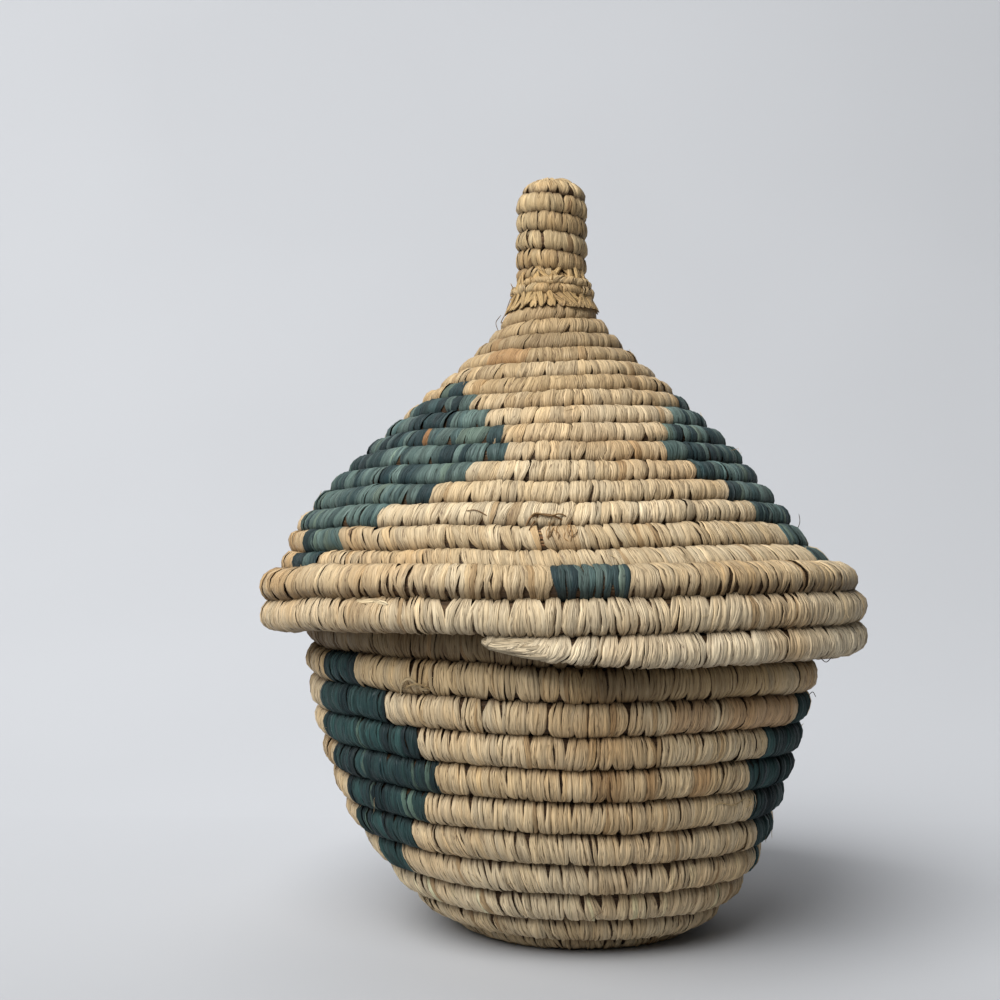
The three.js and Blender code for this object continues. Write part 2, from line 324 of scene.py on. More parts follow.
class Coil:
    """A bundle laid turn against turn along an outline, read by the length along the bundle."""

    def __init__(self, course: Course) -> None:
        """Lays the bundle.

        Args:
            course: What it is laid from.
        """
        self.course = course
        self.lift = 0.0  # how far it is raised once laid
        self.trim = 0.0  # how much of the bundle's end is cut off
        self.sections: list[Section] = []
        self._lay()
        angle, _, *sizes = zip(*self.sections)
        height, thickness, middle, along = (np.array(size) for size in sizes)
        self.angle = np.array(angle)
        self.table = np.column_stack([middle, along, height, thickness])
        places = self._place(self.angle, self.table[:, 0], self.table[:, 1])
        steps = np.linalg.norm(np.diff(places, axis=0), axis=1)
        self.lengths = np.concatenate([[0.0], np.cumsum(steps)])

    @property
    def length(self) -> float:
        """Length of the whole bundle."""
        return float(self.lengths[-1]) - self.trim

    @property
    def lowest(self) -> float:
        """Height of its lowest corner before it is raised."""
        return min(float(self._corners(s)[:, 1].min()) for s in self.sections)

    def _section(self, index: int, place: float, thin: float) -> Section:
        """Works out a section.

        Args:
            index: Its number, counted from the bundle's start.
            place: Its length along the outline.
            thin: Share of its full size that it has.

        Returns:
            The section.
        """
        course = self.course
        size = course.row(place, index / course.steps)
        before = course.outline.at(place - size.height / 2)
        along = course.outline.at(place + size.height / 2) - before
        along = along / np.linalg.norm(along)
        angle = course.start_angle - index * FULL_TURN / course.steps
        middle = course.outline.at(place)
        return Section(angle, place, size.height * thin, size.thickness * thin, middle, along)

    def _corners(self, section: Section) -> Array:
        """A section's six corners as they lie once the axis has been moved sideways.

        Args:
            section: The section.

        Returns:
            The corners' radius and height.
        """
        flat = self.course.flat_share
        shares = np.array([(1, 0), (flat, 1), (-flat, 1), (-1, 0), (-flat, -1), (flat, -1)])
        outward = np.array([section.along[1], -section.along[0]])
        half = shares * (section.height / 2, section.thickness / 2)
        points = section.middle + half[:, :1] * section.along + half[:, 1:] * outward
        points[:, 0] += self.course.shift(points[:, 1]) * math.sin(section.angle)
        return points

    def _against(self, index: int, earlier: Section, thin: float) -> Section:
        """The nearest section further on that is clear of the turn before it.

        Args:
            index: The section's number.
            earlier: The section one turn before.
            thin: Share of its full size that it has.

        Returns:
            The section.
        """
        course = self.course
        low = earlier.place
        high = low + course.search_rows * earlier.height + course.stitch_gap
        fixed = self._corners(earlier)
        for _ in range(course.halvings):
            half_way = (low + high) / 2
            section = self._section(index, half_way, thin)
            between = np.linalg.norm(section.middle - earlier.middle)
            beside = between > (section.height + earlier.height) / 2
            if beside and polygon_gap(self._corners(section), fixed) > course.stitch_gap:
                high = half_way
            else:
                low = half_way
        return self._section(index, high, thin)

    def _lay(self) -> None:
        """Lays every section: a first turn, the turns against it, and the thinning tail."""
        course = self.course
        steps = course.steps
        laid = self.sections
        laid.append(self._section(0, course.start_length, 1.0))
        second = self._against(steps, laid[0], 1.0).place
        for i in range(1, steps):
            laid.append(self._section(i, lerp(course.start_length, second, i / steps), 1.0))
        while laid[-1].place < course.outline.length:
            laid.append(self._against(len(laid), laid[-steps], 1.0))
        tail = round(course.tail_angle / (FULL_TURN / steps))
        count = len(laid)
        for i in range(count - tail, count):
            thin = lerp(course.tail_share, 1.0, (count - 1 - i) / tail)
            laid[i] = self._against(i, laid[i - steps], thin)

    def _place(self, angle: Array, radius: Array, height: Array) -> Array:
        """Points in space from angle, radius and height."""
        x = self.course.shift(height) + radius * np.sin(angle)
        return np.stack([x, -radius * np.cos(angle), height + self.lift], -1)

    def turn_at(self, length: Array) -> Array:
        """The section index, with its fraction, at a length along the bundle."""
        return np.interp(length, self.lengths, np.arange(len(self.lengths)))

    def angle_at(self, length: Array) -> Array:
        """The angle, unwound, at a length along the bundle."""
        return self.course.start_angle - self.turn_at(length) * FULL_TURN / self.course.steps

    def length_at_angle(self, angle: float) -> float:
        """The length along the bundle at an unwound angle."""
        index = (self.course.start_angle - angle) * self.course.steps / FULL_TURN
        return float(np.interp(index, np.arange(len(self.lengths)), self.lengths))

    def turn_before(self, length: Array) -> Array:
        """The length at the same angle one turn earlier.

        Args:
            length: Lengths along the bundle.

        Returns:
            The lengths one turn earlier, or nan in the first turn.
        """
        index = self.turn_at(length) - self.course.steps
        found = np.interp(index, np.arange(len(self.lengths)), self.lengths)
        return np.where(index < 0, np.nan, found)

    def sizes_at(self, length: Array) -> Array:
        """The bundle's sizes, smoothly between its sections.

        Args:
            length: Lengths along the bundle.

        Returns:
            Radius, height, direction (two values), row height and row thickness at each.
        """
        index = self.turn_at(length)
        last = len(self.table) - 1
        low = np.clip(index.astype(int), 0, last - 1)
        four = (self.table[np.clip(low + k, 0, last)] for k in (-1, 0, 1, 2))
        return catmull_rom(four, (index - low)[..., None])

    def surface(self, length: Array, onward: Array, outward: Array) -> Array:
        """Points beside the bundle's middle.

        Args:
            length: Places along the bundle.
            onward: Distance towards the next turn, at each place.
            outward: Distance towards the outside, at each place.

        Returns:
            The points, in millimetres.
        """
        r, z, along_r, along_z, *_ = np.moveaxis(self.sizes_at(length), -1, 0)
        side = self.course.side.value
        radius = r + along_r * onward + side * along_z * outward
        height = z + along_z * onward - side * along_r * outward
        return self._place(self.angle_at(length), radius, height)


@dataclass(frozen=True)
class View:
    """The photograph's view of the basket, in pixels of a picture 1000 wide and high."""

    distance: float = 258.0  # from the camera to the bowl's axis, in millimetres
    eye_level: float = 63.4  # of the camera, in millimetres
    focal: float = 1450.0
    axis: float = 560.0  # how far across the bowl's axis is
    horizon: float = 560.0  # and how far down the eye level is

    def pixels(self, points: Array) -> Array:
        """Where points in space fall in the picture.

        Args:
            points: The points, in millimetres.

        Returns:
            Pixels across and down.
        """
        scale = self.focal / (self.distance + points[..., 1])
        across = self.axis + points[..., 0] * scale
        return np.stack([across, self.horizon - (points[..., 2] - self.eye_level) * scale], -1)


class Wall:
    """A bundle's outer face as the photograph shows it."""

    STEP = 0.5  # between the places that are looked at, along the bundle
    THETA = np.radians(np.arange(25.0, 156.0, 10.0))  # and round its outer face

    def __init__(self, coil: Coil, view: View) -> None:
        """Looks at the bundle.

        Args:
            coil: The bundle.
            view: The photograph's view.
        """
        self.coil = coil
        at = np.arange(0.0, coil.length, self.STEP)[:, None]
        sizes = coil.sizes_at(at)
        onward = sizes[..., 4] / 2 * np.cos(self.THETA)
        outward = sizes[..., 5] / 2 * np.sin(self.THETA)
        place = np.broadcast_to(at, onward.shape)
        points = coil.surface(place, onward, outward)
        front = points[..., 1] < 0
        self.places = np.stack([place[front], onward[front], outward[front]], 1)
        self.pixels = view.pixels(handmade(points[front]))

    def under(self, x: float, y: float) -> Array:
        """The place on the wall under a pixel: length, distance onward and distance outward."""
        away = ((self.pixels - (x, y)) ** 2).sum(1)
        return self.places[int(np.argmin(away))]


# ---- Meshes ----


@dataclass
class MeshData:
    """Points, quads and what the material reads on them, for one piece."""

    points: Array
    quads: NDArray[np.int64]
    strand: Array
    tint: Array
    groove: Array
    unrolled: Array | None = None


def handmade(points: Array) -> Array:
    """Moves points a little, alike in neighbouring rows, as hand sewing leaves a wall uneven.

    Args:
        points: Points in millimetres.

    Returns:
        The points, moved.
    """
    x, y, z = points.T
    swell = 0.22 * np.sin(0.11 * x + 0.07 * z + 0.6) * np.sin(0.09 * y - 0.10 * z + 1.9)
    swell += 0.16 * np.sin(0.21 * x - 0.17 * z) * np.cos(0.19 * y + 0.13 * z)
    swell += 0.07 * np.sin(0.55 * x + 0.31 * y + 0.9 * z)
    sway = 0.20 * np.sin(0.10 * x + 0.05 * y + 0.4) + 0.10 * np.sin(0.23 * y - 0.19 * x + 2.0)
    sway += 0.05 * np.sin(0.47 * x + 0.52 * y)
    fade = smooth(z, 2.0, 12.0)
    reach = np.maximum(np.hypot(x, y), 1e-6)
    return np.stack([x + swell * x / reach, y + swell * y / reach, z + sway * fade], 1)


def build_mesh(name: str, data: MeshData, material: bpy.types.Material) -> bpy.types.Object:
    """Makes an object from mesh data.

    Args:
        name: Its name.
        data: Its mesh, in millimetres.
        material: What it wears.

    Returns:
        The object, linked to the scene.
    """
    mesh = bpy.data.meshes.new(name)
    points = np.ascontiguousarray(data.points * MM, dtype=np.float32)
    quads = np.ascontiguousarray(data.quads, dtype=np.int32)
    mesh.vertices.add(len(points))
    mesh.vertices.foreach_set("co", points.ravel())
    mesh.loops.add(quads.size)
    mesh.loops.foreach_set("vertex_index", quads.ravel())
    mesh.polygons.add(len(quads))
    mesh.polygons.foreach_set("loop_start", np.arange(0, quads.size, 4, dtype=np.int32))
    mesh.polygons.foreach_set("use_smooth", np.ones(len(quads), dtype=bool))
    mesh.update(calc_edges=True)
    rgba = np.column_stack([data.tint, np.ones(len(data.tint))])
    for label, kind, slot, values in (
        ("strand", "FLOAT_VECTOR", "vector", data.strand),
        ("tint", "FLOAT_COLOR", "color", rgba),
        ("groove", "FLOAT", "value", data.groove),
    ):
        layer = mesh.attributes.new(label, kind, "POINT")
        layer.data.foreach_set(slot, values.astype(np.float32).ravel())
    if data.unrolled is not None:
        layer = mesh.uv_layers.new(name="OFBake")
        layer.uv.foreach_set("vector", data.unrolled.astype(np.float32).ravel())
    mesh.materials.append(material)
    piece = bpy.data.objects.new(name, mesh)
    bpy.context.scene.collection.objects.link(piece)
    return piece


def joined(parts: list[MeshData]) -> MeshData:
    """Puts loose strands together.

    Args:
        parts: Their mesh data.

    Returns:
        The mesh data of them all.
    """
    offsets = np.cumsum([0] + [len(p.points) for p in parts[:-1]])
    points, strand, tint, groove = (
        np.concatenate([getattr(p, label) for p in parts])
        for label in ("points", "strand", "tint", "groove")
    )
    quads = np.concatenate([p.quads + offset for p, offset in zip(parts, offsets)])
    return MeshData(points, quads, strand, tint, groove)


def grid_quads(index: NDArray[np.int64], side: Side) -> NDArray[np.int64]:
    """Quads between points that lie in rings, faced outwards.

    Args:
        index: The points' numbers, round the rings by the last axis but one.
        side: On which hand of its course the bundle's outside lies.

    Returns:
        The corners of a quad at each number but the last of the last axis.
    """
    after = np.roll(index, -1, axis=-2)
    quads = np.stack([index[..., :-1], index[..., 1:], after[..., 1:], after[..., :-1]], -1)
    return quads[..., ::-1] if side is Side.LEFT else quads


def packed_map(loops: Array, strips: int, width: float, length: float) -> Array:
    """Lays equal strips side by side in the unit square.

    Args:
        loops: For each strip and corner, its place across and along the strip, 0 to 1.
        strips: Number of strips.
        width: A strip's real width.
        length: A strip's real length.

    Returns:
        The places in the square.
    """
    columns = max(1, math.ceil(math.sqrt(strips * length / width)))
    rows = math.ceil(strips / columns)
    index = np.arange(strips)
    cell = np.stack([index % columns, index // columns], 1)[:, None, :]
    inset = np.array([0.06, 0.01])  # kept free at a strip's sides and ends
    return ((cell + inset + (1 - 2 * inset) * loops) / (columns, rows)).reshape(-1, 2)


# ---- Sewing strands ----


@dataclass(frozen=True)
class Tones:
    """The colours of one dye lot of raffia, as they look in plain light."""

    pale: Colour
    deep: Colour
    odd: Colour
    odd_share: float = 0.03
    spread: float = 0.10
    mix: float = 0.10  # how much strands differ between pale and deep
    deepest: float = 1.9  # how far past the deep colour a strand may darken: browned strands, and painted shade


NATURAL = Tones(
    pale=(0.855, 0.78, 0.645), deep=(0.755, 0.65, 0.485), odd=(0.67, 0.54, 0.37), deepest=2.2
)
# The natural tones made paler, for the bowl.
BOWL_NATURAL = Tones(
    pale=(0.925, 0.845, 0.70), deep=(0.775, 0.665, 0.49), odd=(0.67, 0.54, 0.37), deepest=2.2
)
WORN: Colour = (0.56, 0.40, 0.26)
PALE_FIBRE: Colour = (0.80, 0.71, 0.55)
DRY: Colour = (0.50, 0.42, 0.32)
DARK: Colour = (0.2, 0.16, 0.12)
KHAKI = Tones(pale=(0.83, 0.74, 0.57), deep=(0.71, 0.60, 0.43), odd=(0.58, 0.45, 0.30))
FADED_GREEN = Tones(
    pale=(0.42, 0.505, 0.475),
    deep=(0.125, 0.205, 0.215),
    odd=(0.58, 0.65, 0.56),
    odd_share=0.06,
    spread=0.22,
    mix=0.42,
    deepest=1.15,
)
DEEP_GREEN = Tones(
    pale=(0.205, 0.34, 0.33),
    deep=(0.05, 0.125, 0.14),
    odd=(0.50, 0.58, 0.49),
    odd_share=0.04,
    spread=0.24,
    mix=0.28,
    deepest=1.15,
)


@dataclass(frozen=True)
class Chance:
    """How much stitches and strands differ by chance: a spread, or the least and the most."""

    stitch_width: float = 0.22
    place: float = 0.05
    width: tuple[float, float] = (1.02, 1.5)  # times an even share of the stitch
    lift: tuple[float, float] = (-0.03, 0.12)
    lean: float = 0.24
    tip: float = 0.17
    tilt: float = 0.12
    crest: tuple[float, float] = (0.04, 0.18)
    edge: tuple[float, float] = (-0.25, 0.35)
    reach: tuple[float, float] = (0.6, 1.35)


@dataclass(frozen=True)
class Stitching:
    """How one bundle is sewn."""

    stitch_start: float  # width of a stitch at the bundle's start
    stitch_end: float  # and at its end
    strand_start: float = 0.62  # width of a strand at the bundle's start
    strand_end: float = 0.62  # and at its end
    pinch: float = 0.5  # share of a stitch's width left where it dives into the turn before
    far_pinch: float = 0.8  # and where the next turn's stitches press into it
    free_pinch: float = 1.12  # and there in the last turn, which has none after it
    end_pinch: float = 0.5  # the first two at the bundle's end, on its fat last rows
    end_far_pinch: float = 0.7
    end_share: float = 1.0  # share of the bundle's length before those rows
    end_blend: float = 0.06  # share of it over which they fatten
    dive: float = 0.5  # how far its narrow end reaches into the turn before
    lean: float = 0.2
    lean_drift: float = 0.15
    most_lean: float = 1.2
    slant: float = 0.0  # how far every stitch leans onward
    crown: float = 0.14  # how far the middle of a stitch stands proud
    squareness: float = 2.15
    set_back: float = 0.16  # of the wrapped surface under the bundle's CAD face
    gap: float = 0.04  # left to the middle of the space before the next turn
    free_gap: float = 0.24  # and in the last turn
    edge_dark: float = 1.0  # how dark the painted shade in the creases between strands is
    groove_dark: float = 1.0  # how dark the painted shade in the grooves between rows is
    around: int = 16
    tail_sweep: float = 0.0  # how far the last stitches are drawn on towards the tip
    tail_run: float = 18.0
    tail_slim: float = 1.0  # share of its lower half that the tail keeps at its tip
    tail_slim_from: float = 7.0
    tail_slim_run: float = 30.0
    chance: Chance = Chance()

    def slimmed(self, to_tip: Array) -> Array:
        """Share of its lower half that the bundle keeps at a distance from its tip."""
        share = smooth(to_tip, self.tail_slim_from, self.tail_slim_run)
        return self.tail_slim + (1 - self.tail_slim) * share

    def fatness(self, place: Array, length: float) -> Array:
        """How far a place on a bundle of some length is into its fat last rows, 0 to 1."""
        end = self.end_share * length
        return smooth(place, end, (self.end_share + self.end_blend) * length)


@dataclass(frozen=True)
class Mark:
    """A stretch of a bundle with strands of another colour, or with none."""

    length: float
    half_width: float
    colour: Colour | None = None
    strength: float = 0.7


def column(values: Array) -> Array:
    """One value for each strand, shaped to meet the points round and across it."""
    return values[:, None, None]


class Sewing:
    """Wraps a bundle in sewing strands."""

    ACROSS = (-0.5, -0.33, 0.33, 0.5)  # where a strand's points lie across it
    RIPPLES = (1, 2, 5)  # waves in one round of a strand
    EDGE_DROP = 0.10  # how far a strand's edges lie under its middle
    SINK = 0.22  # how far a strand sinks where it dives into the turn before

    def __init__(
        self, coil: Coil, style: Stitching, dye: Dye, seed: int, marks: tuple[Mark, ...] = ()
    ) -> None:
        """Lays out the stitches and their strands.

        Args:
            coil: The bundle.
            style: How it is sewn.
            dye: Gives each strand's tone and whether it is green, from its place.
            seed: Seed of the random numbers.
            marks: Stretches that are stained or worn bare.
        """
        self.coil = coil
        self.style = style
        self.marks = marks
        self.rng = np.random.default_rng(seed)
        self._lay_stitches()
        self._split_strands()
        for mark in marks:
            if mark.colour is None:
                self._keep(abs(self.centre + self.offset - mark.length) > mark.half_width)
        self.tone, self.green = dye(self.centre + self.offset, self.rng)

    def _lay_stitches(self) -> None:
        """Places stitches along the bundle, each narrow end in a gap of the turn before."""
        style, rng, length = self.style, self.rng, self.coil.length
        widths: list[float] = []
        done = 0.0
        while done < length:
            mean = lerp(style.stitch_start, style.stitch_end, done / length)
            share = 1 + style.chance.stitch_width * rng.normal()
            widths.append(mean * float(np.clip(share, 0.6, 1.6)))
            done += widths[-1]
        width = np.array(widths) * length / done
        edge = np.concatenate([[0.0], np.cumsum(width)])
        centre = (edge[:-1] + edge[1:]) / 2
        fat = style.fatness(centre, length)
        lean = style.slant + style.lean * rng.normal(size=len(width))
        lean = lean + style.lean_drift * wander(centre, 30.0, rng)
        lean = np.clip(lean, -style.most_lean, style.most_lean) * (1 - 0.5 * fat)
        gap = edge.copy()
        gap[1:-1] += (lean[:-1] + lean[1:]) / 2
        before = self.coil.turn_before(centre)
        place = np.nan_to_num(before)
        index = np.clip(np.searchsorted(gap, place), 1, len(gap) - 1)
        nearer = abs(gap[index - 1] - place) < abs(gap[index] - place)
        tip = np.where(nearer, gap[index - 1], gap[index]) - place
        most = width * (0.15 + 0.12 * fat)
        tip = np.where(np.isnan(before), 0.0, np.clip(0.8 * tip, -most, most))
        self.stitch_width, self.stitch_centre = width, centre
        self.stitch_lean, self.stitch_tip = lean, tip

    def _split_strands(self) -> None:
        """Splits each stitch into strands and draws each strand's own numbers."""
        style, rng, end = self.style, self.rng, self.coil.length
        chance = style.chance
        fine = lerp(style.strand_start, style.strand_end, self.stitch_centre / end)
        count = np.maximum(1, np.rint(self.stitch_width / fine)).astype(int)
        of = np.repeat(np.arange(len(count)), count)
        first = np.concatenate([[0], np.cumsum(count)[:-1]])
        share = (np.arange(len(of)) - first[of] + 0.5) / count[of] - 0.5
        n = len(of)
        self.centre = self.stitch_centre[of]
        swept = smooth(self.centre, end - style.tail_run, end - 1.0)
        self.offset = 1.03 * share * self.stitch_width[of] + rng.normal(0, chance.place, n)
        self.width = self.stitch_width[of] / count[of] * rng.uniform(*chance.width, n)
        self.width = self.width * (1 + 0.8 * swept)
        self.lift = rng.uniform(*chance.lift, n) + style.crown * (1 - (2 * share) ** 2)
        self.lean = self.stitch_lean[of] + rng.normal(0, chance.lean, n)
        self.lean = self.lean + style.tail_sweep * swept
        self.tip = self.stitch_tip[of] + rng.normal(0, chance.tip, n)
        self.tilt = rng.normal(0, chance.tilt, n)
        self.crest = rng.uniform(*chance.crest, (n, 2))
        # Painted shade on each strand's edges, between strands; darkest at a stitch's sides.
        self.edge = rng.uniform(*chance.edge, (n, 2))
        self.edge = np.clip(self.edge + 0.32 + 0.35 * abs(2 * share[:, None]) ** 4, 0.05, 0.95)
        self.reach = style.dive * rng.uniform(*chance.reach, len(count))[of]
        self.wave = rng.uniform(0, FULL_TURN, (n, len(self.RIPPLES)))
        self.own = rng.uniform(0, 1, n)
        self.fade = rng.normal(0, 1, n)
        self.shade = rng.normal(0, 1, len(count))[of]

    def _keep(self, keep: NDArray[np.bool_]) -> None:
        """Drops the strands that aren't kept.

        Args:
            keep: For each strand, whether it is kept.
        """
        for name, value in vars(self).items():
            if isinstance(value, np.ndarray) and len(value) == len(keep):
                setattr(self, name, value[keep])

    def _pinched(self, centre: Array, near: Array, far: Array, free: Array) -> Array:
        """How much narrower than its own width a strand is, round its bundle.

        Args:
            centre: The strands' places along the bundle.
            near: How far each point is into the turn before, 0 to 1.
            far: How far it is towards the turn after.
            free: Whether there is no turn after.

        Returns:
            The share of its width that is left.
        """
        style = self.style
        fat = style.fatness(centre, self.coil.length)
        near_pinch = style.pinch * (1 - fat) + style.end_pinch * fat
        far_pinch = style.far_pinch * (1 - fat) + style.end_far_pinch * fat
        far_pinch = np.where(free, style.free_pinch, far_pinch)
        return 1 - (1 - near_pinch) * near - (1 - far_pinch) * far

    def _points(self, own: NDArray[np.int64], theta: Array) -> tuple[Array, Array]:
        """The points of some of the strands.

        Args:
            own: Which strands.
            theta: Angles round the bundle, from the side of the next turn.

        Returns:
            The points, by strand, angle and place across, and half the bundle's girth there.
        """
        style, coil = self.style, self.coil
        cos, sin = np.cos(theta), np.sin(theta)
        across = np.array(self.ACROSS)
        near, far = smooth(-cos, 0.45, 1.0), smooth(cos, 0.55, 1.0)
        centre = column(self.centre[own])
        free = coil.turn_at(coil.length) - coil.turn_at(centre) < coil.course.steps
        pinch = self._pinched(centre, near, far, free)
        waves = (column(self.wave[own, i]) for i in range(len(self.RIPPLES)))
        slow, mid, fast = (np.sin(m * theta + w) for m, w in zip(self.RIPPLES, waves))
        width = column(self.width[own]) * (0.4 + 0.6 * pinch) * (1 + 0.10 * fast)
        side = column(self.offset[own]) * pinch + width * across
        side = side + column(self.tip[own]) * ((1 - cos) / 2) ** 2.5
        side = side + column(self.lean[own]) * ((1 + cos) / 2) ** 2
        side = side + 0.07 * mid + 0.03 * fast
        at = np.clip(centre + side, 0.0, coil.length)
        sizes = coil.sizes_at(at)
        slim = style.slimmed(coil.length - at)
        half_row = (sizes[..., 4] + coil.course.stitch_gap) / 2
        half_wall = (sizes[..., 5] / 2 - style.set_back) * (0.6 + 0.4 * slim)
        next_side = (half_row - np.where(free, style.free_gap, style.gap)) * slim
        half_on = np.where(cos > 0, next_side, half_row + column(self.reach[own]) * near)
        power = 2 / style.squareness
        onward = half_on * np.sign(cos) * abs(cos) ** power
        outward = half_wall * np.sign(sin) * abs(sin) ** power
        crest = np.full((len(own), 1, len(across)), -self.EDGE_DROP)
        crest[:, 0, 1:3] = self.crest[own]
        lift = column(self.lift[own]) + crest * (1 + 0.3 * fast)
        lift = lift + (column(self.tilt[own]) + 0.07 * slow) * across * 2 + 0.04 * mid
        lift = lift * (1 - 0.7 * near) - self.SINK * near
        slope = np.stack(
            np.broadcast_arrays(
                np.sign(cos) * abs(cos) ** (2 - power) / half_on,
                np.sign(sin) * abs(sin) ** (2 - power) / half_wall,
            )
        )
        slope /= np.linalg.norm(slope, axis=0)
        points = coil.surface(at, onward + slope[0] * lift, outward + slope[1] * lift)
        return points, 2 * (half_row + half_wall) * 0.8

    def mesh(self, own: NDArray[np.int64], tones: Tones) -> MeshData:
        """The mesh of some of the strands.

        Args:
            own: Which strands.
            tones: Their dye lot.

        Returns:
            The mesh data.
        """
        style = self.style
        n, k, j = len(own), style.around, len(self.ACROSS)
        theta = (np.arange(k) / k * FULL_TURN)[None, :, None]
        points, half_girth = self._points(own, theta)
        quads = grid_quads(np.arange(n * k * j).reshape(n, k, j), self.coil.course.side)
        key = column(self.own[own])
        reads = (
            np.array(self.ACROSS) * column(self.width[own]) + 7.0 * key,
            theta / FULL_TURN * 2 * half_girth,
            50 * key,
        )
        # Painted shade: darker towards the grooves between rows and along the strands' edges.
        depth = style.groove_dark * smooth(abs(np.cos(theta)), 0.55, 0.97) * np.ones((n, 1, j))
        depth[:, :, [0, 3]] += style.edge_dark * self.edge[own][:, None, :]
        return MeshData(
            handmade(points.reshape(-1, 3)),
            quads.reshape(-1, 4),
            np.stack(np.broadcast_arrays(*reads), -1).reshape(-1, 3),
            np.repeat(self._tints(own, tones), k * j, axis=0),
            np.clip(depth, 0, 1).ravel(),
            self._unrolled(n, k, j),
        )

    def _tints(self, own: NDArray[np.int64], tones: Tones) -> Array:
        """Works out the strands' colours.

        Args:
            own: Which strands.
            tones: Their dye lot.

        Returns:
            Each strand's colour, in linear light.
        """
        pale, deep, odd = (np.array(c) for c in (tones.pale, tones.deep, tones.odd))
        share = self.tone[own] + tones.mix * (self.fade[own] + self.shade[own])
        share = np.clip(share, 0, tones.deepest)[:, None]
        # Past the deep colour a strand only darkens; this also carries the painted shade.
        past = np.maximum(share - 1, 0)
        share = share - past
        colour = (pale * (1 - share) + deep * share) * (1 - 0.3 * past)
        strange = (self.own[own] < tones.odd_share)[:, None]
        colour = np.where(strange, 0.4 * colour + 0.6 * odd, colour)
        colour = colour * (1 + tones.spread * 0.5 * self.fade[own][:, None])
        place = self.centre[own] + self.offset[own]
        for mark in self.marks:
            if mark.colour is not None:
                inside = smooth(abs(place - mark.length), mark.half_width, 0.6 * mark.half_width)
                inside = (mark.strength * inside)[:, None]
                colour = colour * (1 - inside) + np.array(mark.colour) * inside
        colour = np.clip(colour, 0.02, 0.97)
        return ((colour + 0.055) / 1.055) ** 2.4

    def _unrolled(self, n: int, k: int, j: int) -> Array:
        """The strands' map: each one unrolled to a strip of its own.

        Args:
            n: Number of strands.
            k: Points round a strand.
            j: Points across it.

        Returns:
            The places of the quads' corners.
        """
        ring = (np.arange(k) / k)[:, None]
        wide = (np.arange(j) / (j - 1))[None, :]
        low = np.stack(np.broadcast_arrays(wide, ring), -1)
        high = low + (0.0, 1.0 / k)
        corners = np.stack([low[:, :-1], low[:, 1:], high[:, 1:], high[:, :-1]], 2)
        if self.coil.course.side is Side.LEFT:
            corners = corners[:, :, ::-1]
        loops = np.broadcast_to(corners.reshape(1, -1, 2), (n, k * (j - 1) * 4, 2))
        return packed_map(loops, n, 1.3, 17.0)

    def dress(
        self,
        name: str,
        wear: tuple[Tones, bpy.types.Material],
        green: tuple[Tones, bpy.types.Material],
        home: "Home",
    ) -> None:
        """Builds the strands in lots along the bundle, plain and green apart.

        Args:
            name: Start of the pieces' names.
            wear: The plain strands' dye lot and material.
            green: The green strands' dye lot and material.
            home: Where the pieces belong.
        """
        for label, chosen, (tones, material) in (
            ("strands", ~self.green, wear),
            ("green_strands", self.green, green),
        ):
            own = np.flatnonzero(chosen)
            lots = np.array_split(own, math.ceil(len(own) / LARGEST_LOT)) if len(own) else []
            for number, lot in enumerate(lots, start=1):
                piece = build_mesh(f"{name}_{label}_{number}", self.mesh(lot, tones), material)
                home.settle(piece)


# ---- Loose fibres ----


@dataclass(frozen=True)
class Whisker:
    """A loose strand that follows a wall under some pixels, and may then leave it."""

    pixels: tuple[tuple[float, float, float], ...]  # across, down, and the lift in millimetres
    width: float
    colour: Colour
    flat: bool = False
    free: tuple[tuple[float, float, float], ...] = ()  # right, up and out from the last pixel

    def mesh(self, wall: Wall, key: float) -> MeshData:
        """Lays the strand.

        Args:
            wall: The wall that it lies on.
            key: A number of its own, for its fibres.

        Returns:
            Its mesh.
        """
        coil = wall.coil
        places = [wall.under(x, y) + (0.0, 0.0, lift) for x, y, lift in self.pixels]
        side = coil.course.side.value
        places += [places[-1] + (-right, side * up, out) for right, up, out in self.free]
        length, onward, outward = np.array(places).T
        knots = coil.surface(length, onward, outward)
        path = eased_path(knots, 6 * len(knots))
        return loose_strand(path, self.width, self.colour, self.flat, key)


def tangle(wall: Wall, pixel: tuple[float, float], reach: float, count: int, seed: int) -> list:
    """Thin brown fibres that cross each other in one place.

    Args:
        wall: The wall.
        pixel: The pixel of their middle.
        reach: How far they spread.
        count: How many.
        seed: Seed of the random numbers.

    Returns:
        Their meshes.
    """
    rng = np.random.default_rng(seed)
    made = []
    for i in range(count):
        x, y = np.array(pixel) + rng.uniform(-1, 1, 2) * (reach, 5.0)
        run, rise = rng.uniform(-3.5, 3.5), rng.uniform(4.0, 9.5)
        bend = rng.normal(0, 1.6)
        points = (
            (x - run, y - rise, 0.1),
            (x + bend, y, rng.uniform(0.2, 0.45)),
            (x + run, y + rise, rng.uniform(0.05, 0.3)),
        )
        brown = rng.uniform(0.8, 1.25)
        colour = (0.58 * brown, 0.45 * brown, 0.29 * brown)
        made.append(Whisker(points, rng.uniform(0.08, 0.17), colour).mesh(wall, 5.0 * i + seed))
    return made


